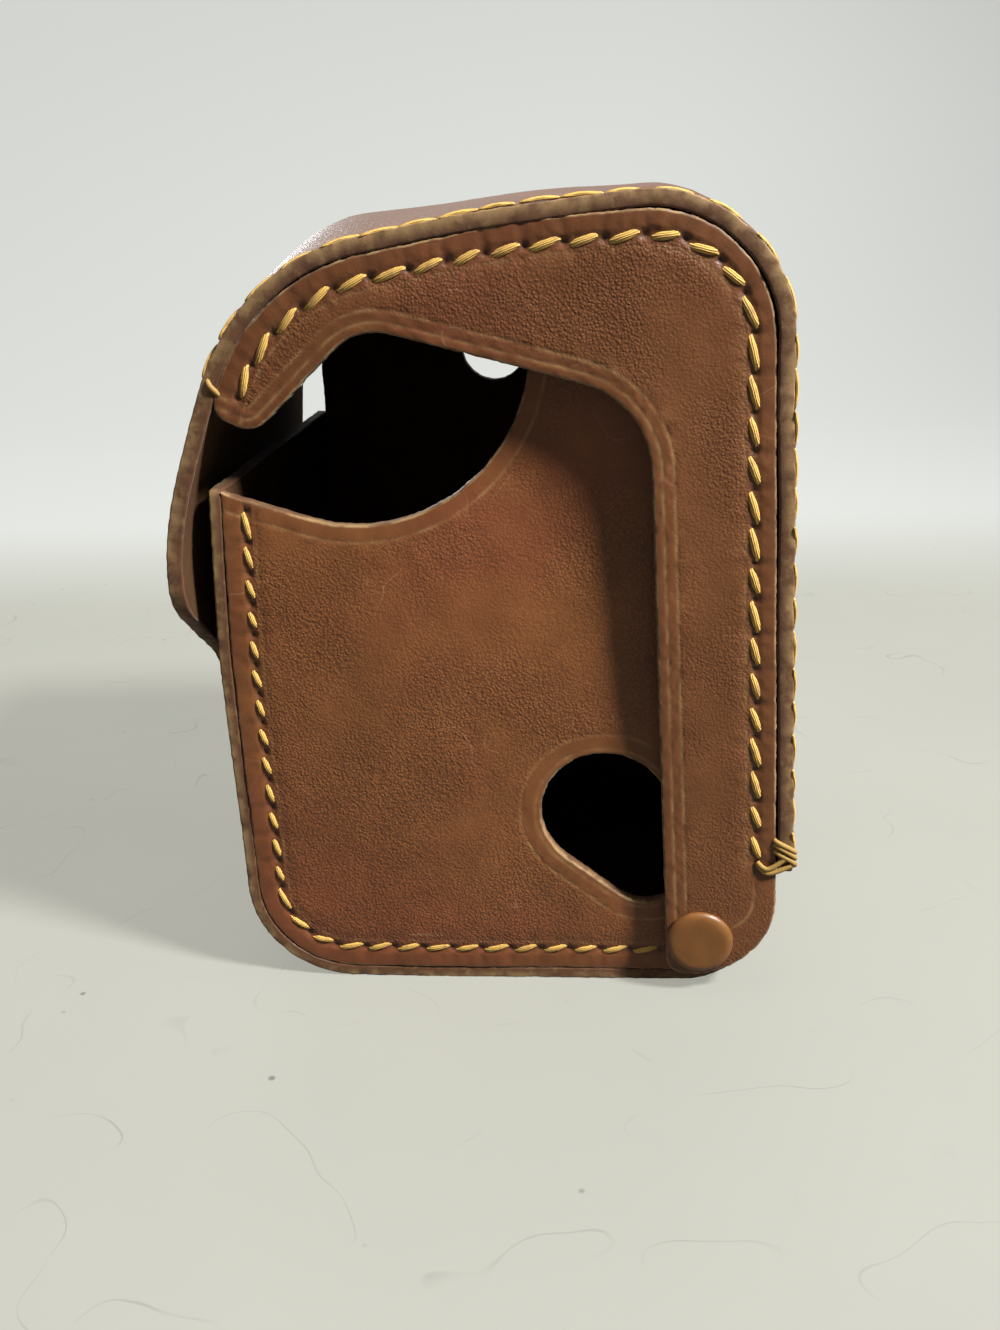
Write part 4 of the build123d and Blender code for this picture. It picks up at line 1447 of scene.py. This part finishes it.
def stitch_share(y, z):
    """A stitch's part of the full length on an end panel: less up the front."""
    upright = y < FRONT_WALL_Y + 8 and 14 < z <= TOP_STITCHES_Z
    return FRONT_STITCH_SHARE if upright else 1.0


def make_thread(sizes, thread):
    """Every seam's stitches, on the faces of the ends and where they come out of the bands."""
    tree = stitch_tree()
    values = {
        "Length": sizes.stitch_length, "Width": sizes.stitch_width,
        "Height": sizes.stitch_height, "Thread": thread,
    }
    body_values = {
        **values, "Length": sizes.stitch_length * BODY_PITCH / COVER_PITCH,
        "Width": 0.86 * sizes.stitch_width,
    }
    cover_strip = Strip(cover_shape, COVER_HALF, anchors=(FLAP_KNEE, TOP_BEND))
    for side in (1, -1):
        places = [spot for _, seam in body_seams() for spot in seam]
        rows = face_rows(BODY_HALF, side, Hide(sizes, PANEL_SEEDS[side]), places)
        shares = [stitch_share(y, z) for (y, z), _ in places]
        seam = sewn(f"{sideways(side)}_end_thread", rows, tree,
                    {**body_values, "Seed": 3 + side}, shares)
        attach(seam, "case_body")
        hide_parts(f"{sideways(side)}_body_stitches")
        _, places = cover_seam(side)
        rows = face_rows(COVER_HALF, side, Hide(sizes, CHEEK_SEEDS[side]), places)
        seam = sewn(f"{sideways(side)}_cheek_thread", rows, tree, {**values, "Seed": 13 + side})
        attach(seam, "cover")
        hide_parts(f"{sideways(side)}_cover_stitches")
        rows = rim_rows(cover_strip, side, places)
        seam = sewn(f"{sideways(side)}_band_thread", rows, tree,
                    {**values, "Length": 1.2 * sizes.stitch_length,
                     "Height": 0.75 * sizes.stitch_height, "Turn": 0.12, "Seed": 23 + side})
        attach(seam, "cover")
        foot = [cover_strip.length - 0.5 - turn for turn in range(3)]
        first = cover_strip.along_at(places[0][0]) - 0.5 * COVER_PITCH
        strands = [
            [(35.2, 39.7, 20.9), (35.7, 40.4, 20.1), (35.75, 41.6, 19.9), (35.7, 43.4, 21.6)],
            [(35.2, 39.7, 20.6), (35.6, 40.5, 19.4), (35.75, 41.9, 19.3), (35.7, 44.4, 20.6)],
        ]
        lashing(
            f"{sideways(side)}_foot_lashing", side, cover_strip, FOOT_TURN, foot, strands, thread)
        lashing(f"{sideways(side)}_tip_lashing", side, cover_strip, TIP_TURN, [first], [], thread)


def lashing(name, side, strip, turn, starts, crossing, thread):
    """Thread wrapped over the rim of the cover's band where a seam ends, one turn at each start
    along the band, with the strands that cross to it from the cheek's last hole."""
    curve = bpy.data.curves.new(name, "CURVE")
    curve.dimensions = "3D"
    curve.bevel_depth = THREAD_RADIUS * MM
    curve.bevel_resolution = 2
    curve.use_fill_caps = True
    draw = np.random.default_rng(5)
    runs = []
    for start in starts:
        slant = draw.uniform(0.7, 1.15)
        flat = np.array([(start - slant * lag, side * COVER_HALF) for _, _, lag in turn])
        run = strip.place(flat, np.array([depth for _, depth, _ in turn]))
        run[:, 0] += side * np.array([beyond for beyond, _, _ in turn])
        runs.append(run)
    for run in crossing:
        runs.append(np.array([(side * x, y + SHIFT, z) for x, y, z in run]))
    for run in runs:
        spline = curve.splines.new("NURBS")
        spline.points.add(len(run) - 1)
        for point, place in zip(spline.points, run):
            point.co = (*(place * MM), 1.0)
        spline.use_endpoint_u = True
        spline.order_u = 3
        spline.resolution_u = 3
    piece = finished(name, final_mesh(in_scene(name + "_line", curve)), thread)
    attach(piece, "cover")


# Rivets and press stud

def turned(name, profile, place, material):
    """A piece turned on a lathe: the profile's radius and height in millimetres, from the
    middle of one end to the middle of the other."""
    around = 72
    solid = bmesh.new()
    rings = []
    for radius, height in profile:
        if radius == 0:
            rings.append([solid.verts.new((0, 0, height * MM))])
            continue
        ring = []
        for i in range(around):
            angle = 2 * math.pi * i / around
            ring.append(solid.verts.new(
                (radius * math.cos(angle) * MM, radius * math.sin(angle) * MM, height * MM)))
        rings.append(ring)
    for a, b in zip(rings, rings[1:]):
        for i in range(around):
            j = (i + 1) % around
            corners = [a[i % len(a)], a[j % len(a)], b[j % len(b)], b[i % len(b)]]
            solid.faces.new(list(dict.fromkeys(corners)))
    mesh = bpy.data.meshes.new(name)
    solid.to_mesh(mesh)
    solid.free()
    mesh.transform(place)
    return finished(name, mesh, material)


def cap_profile(radius, rise, hem):
    """A pressed cap: a gentle dome, a round shoulder and a hem turned under."""
    points = [(0, rise)]
    points += [(radius * share, rise - 0.12 * share ** 2) for share in (0.2, 0.4, 0.6, 0.74)]
    corner = 0.24 * radius * 1.08
    top = rise - 0.12 * 0.74 ** 2
    for degrees in range(15, 91, 15):
        turn = math.radians(degrees)
        points.append(
            (radius - corner + corner * math.sin(turn), hem + (top - hem) * math.cos(turn)))
    points += [(radius - 0.05, hem * 0.4), (radius - 0.25, 0.0)]
    return points


def make_rivets(enamel, brass):
    """The two pivot rivets: enamelled caps with hollow posts, and their backs."""
    for side in (1, -1):
        turn = Matrix.Rotation(side * math.pi / 2, 4, "Y")
        middle = Matrix.Translation(Vector((0, PIVOT[0] + SHIFT, PIVOT[1])) * MM)
        place = middle @ turn
        foot = COVER_HALF + 0.05
        profile = [
            (r, foot + z) for r, z in cap_profile(RIVET_CAP_R, RIVET_CAP_RISE, CAP_HEM)]
        profile += [
            (RIVET_POST_R, foot), (RIVET_POST_R, 31.0), (RIVET_BORE_R, 31.0),
            (RIVET_BORE_R, COVER_HALF - 0.3), (0, COVER_HALF),
        ]
        cap = turned(f"{sideways(side)}_pivot_cap", profile, place, enamel)
        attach(cap, "case_body")
        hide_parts(f"{sideways(side)}_rivet_cap")
        profile = [
            (0, 30.5), (1.4, 30.45), (1.9, 30.4), (3.6, 30.4), (4.1, 30.5), (4.2, 30.75),
            (4.15, 31.0), (1.1, 31.0), (1.1, 33.0), (0.9, 33.4), (0, 33.5),
        ]
        back = turned(f"{sideways(side)}_pivot_back", profile, place, brass)
        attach(back, "case_body")
        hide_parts(f"{sideways(side)}_rivet_back")


def make_press_stud(enamel, brass, steel):
    """The press stud: cap, socket and spring on the tongue, stud and eyelet on the wall."""
    y, z = at_height(TONGUE_END, TONGUE_KNEE, STUD_Z)
    lean = math.atan2(TONGUE_END[0] - TONGUE_KNEE[0], TONGUE_KNEE[1] - TONGUE_END[1])
    outer = Matrix.Translation(Vector((0, y + SHIFT, z)) * MM)
    outer = outer @ Matrix.Rotation(math.pi / 2 - lean, 4, "X")
    wall = Matrix.Translation(Vector((0, FRONT_WALL_Y + SHIFT, STUD_Z)) * MM)
    wall = wall @ Matrix.Rotation(math.pi / 2, 4, "X")
    cap = cap_profile(SNAP_CAP_R, SNAP_CAP_RISE, CAP_HEM)
    cap += [(1.6, 0.0), (1.6, -2.2), (0, -2.2)]
    socket = [
        (0, -2.5), (2.9, -2.5), (2.9, -3.5), (3.05, -3.75), (3.3, -3.8), (4.3, -3.8),
        (4.65, -3.65), (4.8, -3.3), (4.8, -2.35), (4.7, -2.2), (0, -2.2),
    ]
    stud = [(0, 1.6), (0.8, 1.52), (1.5, 1.25), (1.9, 0.95), (2.1, 0.65), (2.0, 0.5), (3.4, 0.5),
            (3.9, 0.42), (4.2, 0.2), (4.2, 0.0), (1.3, 0.0), (1.3, -1.7), (0, -1.7)]
    eyelet = [(0, -1.7), (3.9, -1.7), (4.0, -1.8), (4.0, -2.05), (3.8, -2.2), (1.4, -2.2),
              (1.1, -2.0), (0, -1.95)]
    for name, profile, place, material, node, body, slot in (
        ("press_stud_cap", cap, outer, enamel, "snap_cap", "tongue", "brown_enamel"),
        ("press_stud_socket", socket, outer, brass, "snap_socket", "tongue", "brass"),
        ("press_stud_male", stud, wall, brass, "snap_stud", "case_body", "brass"),
        ("press_stud_eyelet", eyelet, wall, brass, "stud_eyelet", "case_body", "brass"),
    ):
        piece = turned(name, profile, place, material)
        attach(piece, body)
        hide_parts(node)
    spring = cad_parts["snap_spring"]
    spring.data.materials.clear()
    spring.data.materials.append(steel)


# Stage

def make_stage(colours):
    """A pale table with a wall behind, the light and the camera."""
    material, tree, shader = new_material("Pale laminate table and wall")
    place = add(tree, "ShaderNodeTexCoord").outputs["Object"]
    split = add(tree, "ShaderNodeSeparateXYZ", [("Vector", place)])
    back = steps_between(tree, split.outputs["X"], -0.14, -0.27)
    clouds = clouded(tree, place, 14.0, 4.0)
    floor = blend_colour(
        tree, clouds, dyed(colours.floor, 0.93),
        dyed(colours.floor, 1.05))
    patchy = steps_between(tree, clouded(tree, place, 42.0, 2.0), 0.5, 0.62)
    hairline = hairlines(tree, clouded(tree, place, 44.0, 1.0), 0.001, patchy)
    specks = steps_between(tree, add(tree, "ShaderNodeTexVoronoi", [
        ("Vector", place), ("Scale", 75.0)]).outputs["Distance"], 0.05, 0.02)
    specks = calculated(tree, "MULTIPLY", specks, patchy)
    marks = calculated(
        tree, "MAXIMUM", calculated(tree, "MULTIPLY", hairline, 0.3),
        calculated(tree, "MULTIPLY", specks, 0.7))
    floor = blend_colour(tree, marks, floor, opaque(linear("#6f6c60")))
    # Painted shade: the wall made darker towards +Y
    painted_wall_shade = steps_between(tree, split.outputs["Y"], 0.0, 0.4)
    wall = blend_colour(
        tree, painted_wall_shade, opaque(colours.wall), dyed(colours.wall, 0.8))
    seen = blend_colour(tree, back, floor, wall)
    thrown = blend_colour(tree, 1.0, seen, dyed((1, 1, 1), THROWN_BACK), "MULTIPLY")
    rays = add(tree, "ShaderNodeLightPath").outputs
    pale = calculated(tree, "MAXIMUM", rays["Is Camera Ray"], calculated(
        tree, "MULTIPLY", rays["Is Glossy Ray"], back))
    glow = ranged(tree, back, TABLE_GLOW, WALL_GLOW)
    feed(tree, shader, [
        ("Base Color", thrown), ("Emission Color", seen),
        ("Emission Strength", calculated(tree, "MULTIPLY", pale, glow)), ("Roughness", 0.6),
    ])
    profile = rounded_line([(TABLE_FRONT, 0.0), (WALL_X, 0.0), (WALL_X, WALL_TOP)], [SWEEP_R])
    mesh = bpy.data.meshes.new("table_and_wall")
    rows = [(x, y, z) for x, z in profile for y in (-STAGE_HALF, STAGE_HALF)]
    faces = [(2 * i, 2 * i + 2, 2 * i + 3, 2 * i + 1) for i in range(len(profile) - 1)]
    mesh.from_pydata(rows, [], faces)
    mesh.polygons.foreach_set("use_smooth", np.ones(len(mesh.polygons), bool))
    mesh.materials.append(material)
    sweep = in_scene("table_and_wall", mesh)
    make_light()
    make_camera()


def make_light():
    """Soft room light, a window high up behind the case and a wide ceiling lamp."""
    world = bpy.data.worlds.new("Soft room light")
    world.use_nodes = True
    tree = world.node_tree
    sky = tree.nodes["Background"]
    sky.inputs["Color"].default_value = (0.93, 0.96, 1.0, 1)
    seen_only = add(tree, "ShaderNodeLightPath").outputs["Is Camera Ray"]
    tree.links.new(
        calculated(tree, "MULTIPLY_ADD", seen_only, 0.5, 0.18), sky.inputs["Strength"])
    bpy.context.scene.world = world
    for name, place, target, size, power, spread in LAMPS:
        light = bpy.data.lights.new(name, "AREA")
        light.shape = "DISK"
        light.size = size
        light.energy = power
        light.spread = math.radians(spread)
        lamp = in_scene(name, light)
        lamp.location = place
        lamp.rotation_euler = (Vector(target) - Vector(place)).to_track_quat("-Z", "Y").to_euler()


def make_camera():
    """The camera, at the photograph's viewing angle."""
    down, yaw, roll = (math.radians(v) for v in (CAMERA_DOWN, CAMERA_YAW, CAMERA_ROLL))
    ahead = Vector(
        (-math.cos(yaw) * math.cos(down), math.sin(yaw) * math.cos(down), -math.sin(down)))
    level = Vector((math.sin(yaw), math.cos(yaw), 0))
    upright = level.cross(ahead)
    right = math.cos(roll) * level + math.sin(roll) * upright
    top = math.cos(roll) * upright - math.sin(roll) * level
    camera = in_scene("camera", bpy.data.cameras.new("camera"))
    camera.data.sensor_width = SENSOR
    camera.data.lens = FOCAL_PIXELS / FRAME_HEIGHT * SENSOR
    camera.data.clip_start = 0.005
    turn = Matrix((right, top, -ahead)).transposed().to_4x4()
    camera.matrix_world = Matrix.Translation(Vector(CAMERA_PLACE) * MM) @ turn
    bpy.context.scene.camera = camera
    bpy.context.scene.view_settings.view_transform = "Standard"


# Operators

def shared_material(key):
    """A finish, made once and then found again by its key."""
    scene = bpy.context.scene
    sizes, colours = scene.case_sizes, scene.case_colours
    makers = {
        "body leather": lambda: bridle_leather(
            "Bridle leather, saddle brown", sizes, colours, 1.0),
        "cover leather": lambda: bridle_leather(
            "Bridle leather, saddle brown, darker hide", sizes, colours, 0.72),
        "band leather": lambda: bridle_leather(
            "Bridle leather, saddle brown, bloomed", sizes, colours, 0.72, 0.36),
        "flesh side": lambda: flesh_side(colours),
        "thread": lambda: waxed_linen(colours),
        "enamel": lambda: stoved_enamel(colours),
        "brass": lambda: dull_metal("Stamped brass, dulled", "#b3925c", 0.36),
        "steel": lambda: dull_metal("Drawn spring wire", "#a39f98", 0.3),
    }
    for material in bpy.data.materials:
        if material.get("case_finish") == key:
            return material
    material = makers[key]()
    material["case_finish"] = key
    return material


class CASE_OT_body(bpy.types.Operator):
    """Make the lower case's leather"""

    bl_idname = "case.body"
    bl_label = "Lower case"

    def execute(self, context):
        make_body(context.scene.case_sizes, shared_material("body leather"))
        return {"FINISHED"}


class CASE_OT_cover(bpy.types.Operator):
    """Make the cover's leather with its flap and tongue"""

    bl_idname = "case.cover"
    bl_label = "Cover, flap and tongue"

    def execute(self, context):
        make_cover(
            context.scene.case_sizes, shared_material("cover leather"),
            shared_material("band leather"))
        return {"FINISHED"}


class CASE_OT_thread(bpy.types.Operator):
    """Sew the seams"""

    bl_idname = "case.thread"
    bl_label = "Seams"

    def execute(self, context):
        make_thread(context.scene.case_sizes, shared_material("thread"))
        return {"FINISHED"}


class CASE_OT_rivets(bpy.types.Operator):
    """Make the pivot rivets"""

    bl_idname = "case.rivets"
    bl_label = "Pivot rivets"

    def execute(self, context):
        make_rivets(shared_material("enamel"), shared_material("brass"))
        return {"FINISHED"}


class CASE_OT_press_stud(bpy.types.Operator):
    """Make the press stud"""

    bl_idname = "case.press_stud"
    bl_label = "Press stud"

    def execute(self, context):
        make_press_stud(
            shared_material("enamel"), shared_material("brass"), shared_material("steel"))
        return {"FINISHED"}


class CASE_OT_stage(bpy.types.Operator):
    """Set the table, the wall, the light and the camera"""

    bl_idname = "case.stage"
    bl_label = "Stage"

    def execute(self, context):
        make_stage(context.scene.case_colours)
        return {"FINISHED"}


class CASE_PT_panel(bpy.types.Panel):
    """The case's pieces, sizes and colours"""

    bl_idname = "CASE_PT_panel"
    bl_label = "Camera case"
    bl_space_type = "VIEW_3D"
    bl_region_type = "UI"
    bl_category = "Camera case"

    def draw(self, context):
        for operator in OPERATORS:
            self.layout.operator(operator.bl_idname)
        for group in (context.scene.case_sizes, context.scene.case_colours):
            for key in group.__annotations__:
                self.layout.prop(group, key)


OPERATORS = (
    CASE_OT_stage, CASE_OT_body, CASE_OT_cover, CASE_OT_thread, CASE_OT_rivets,
    CASE_OT_press_stud,
)
CLASSES = (CaseSizes, CaseColours, *OPERATORS, CASE_PT_panel)


def register():
    for cls in CLASSES:
        bpy.utils.register_class(cls)
    bpy.types.Scene.case_sizes = bpy.props.PointerProperty(type=CaseSizes)
    bpy.types.Scene.case_colours = bpy.props.PointerProperty(type=CaseColours)


def unregister():
    del bpy.types.Scene.case_colours
    del bpy.types.Scene.case_sizes
    for cls in reversed(CLASSES):
        bpy.utils.unregister_class(cls)


def main():
    register()
    for operator in OPERATORS:
        group, name = operator.bl_idname.split(".")
        getattr(getattr(bpy.ops, group), name)()


if __name__ == "__main__":
    main()
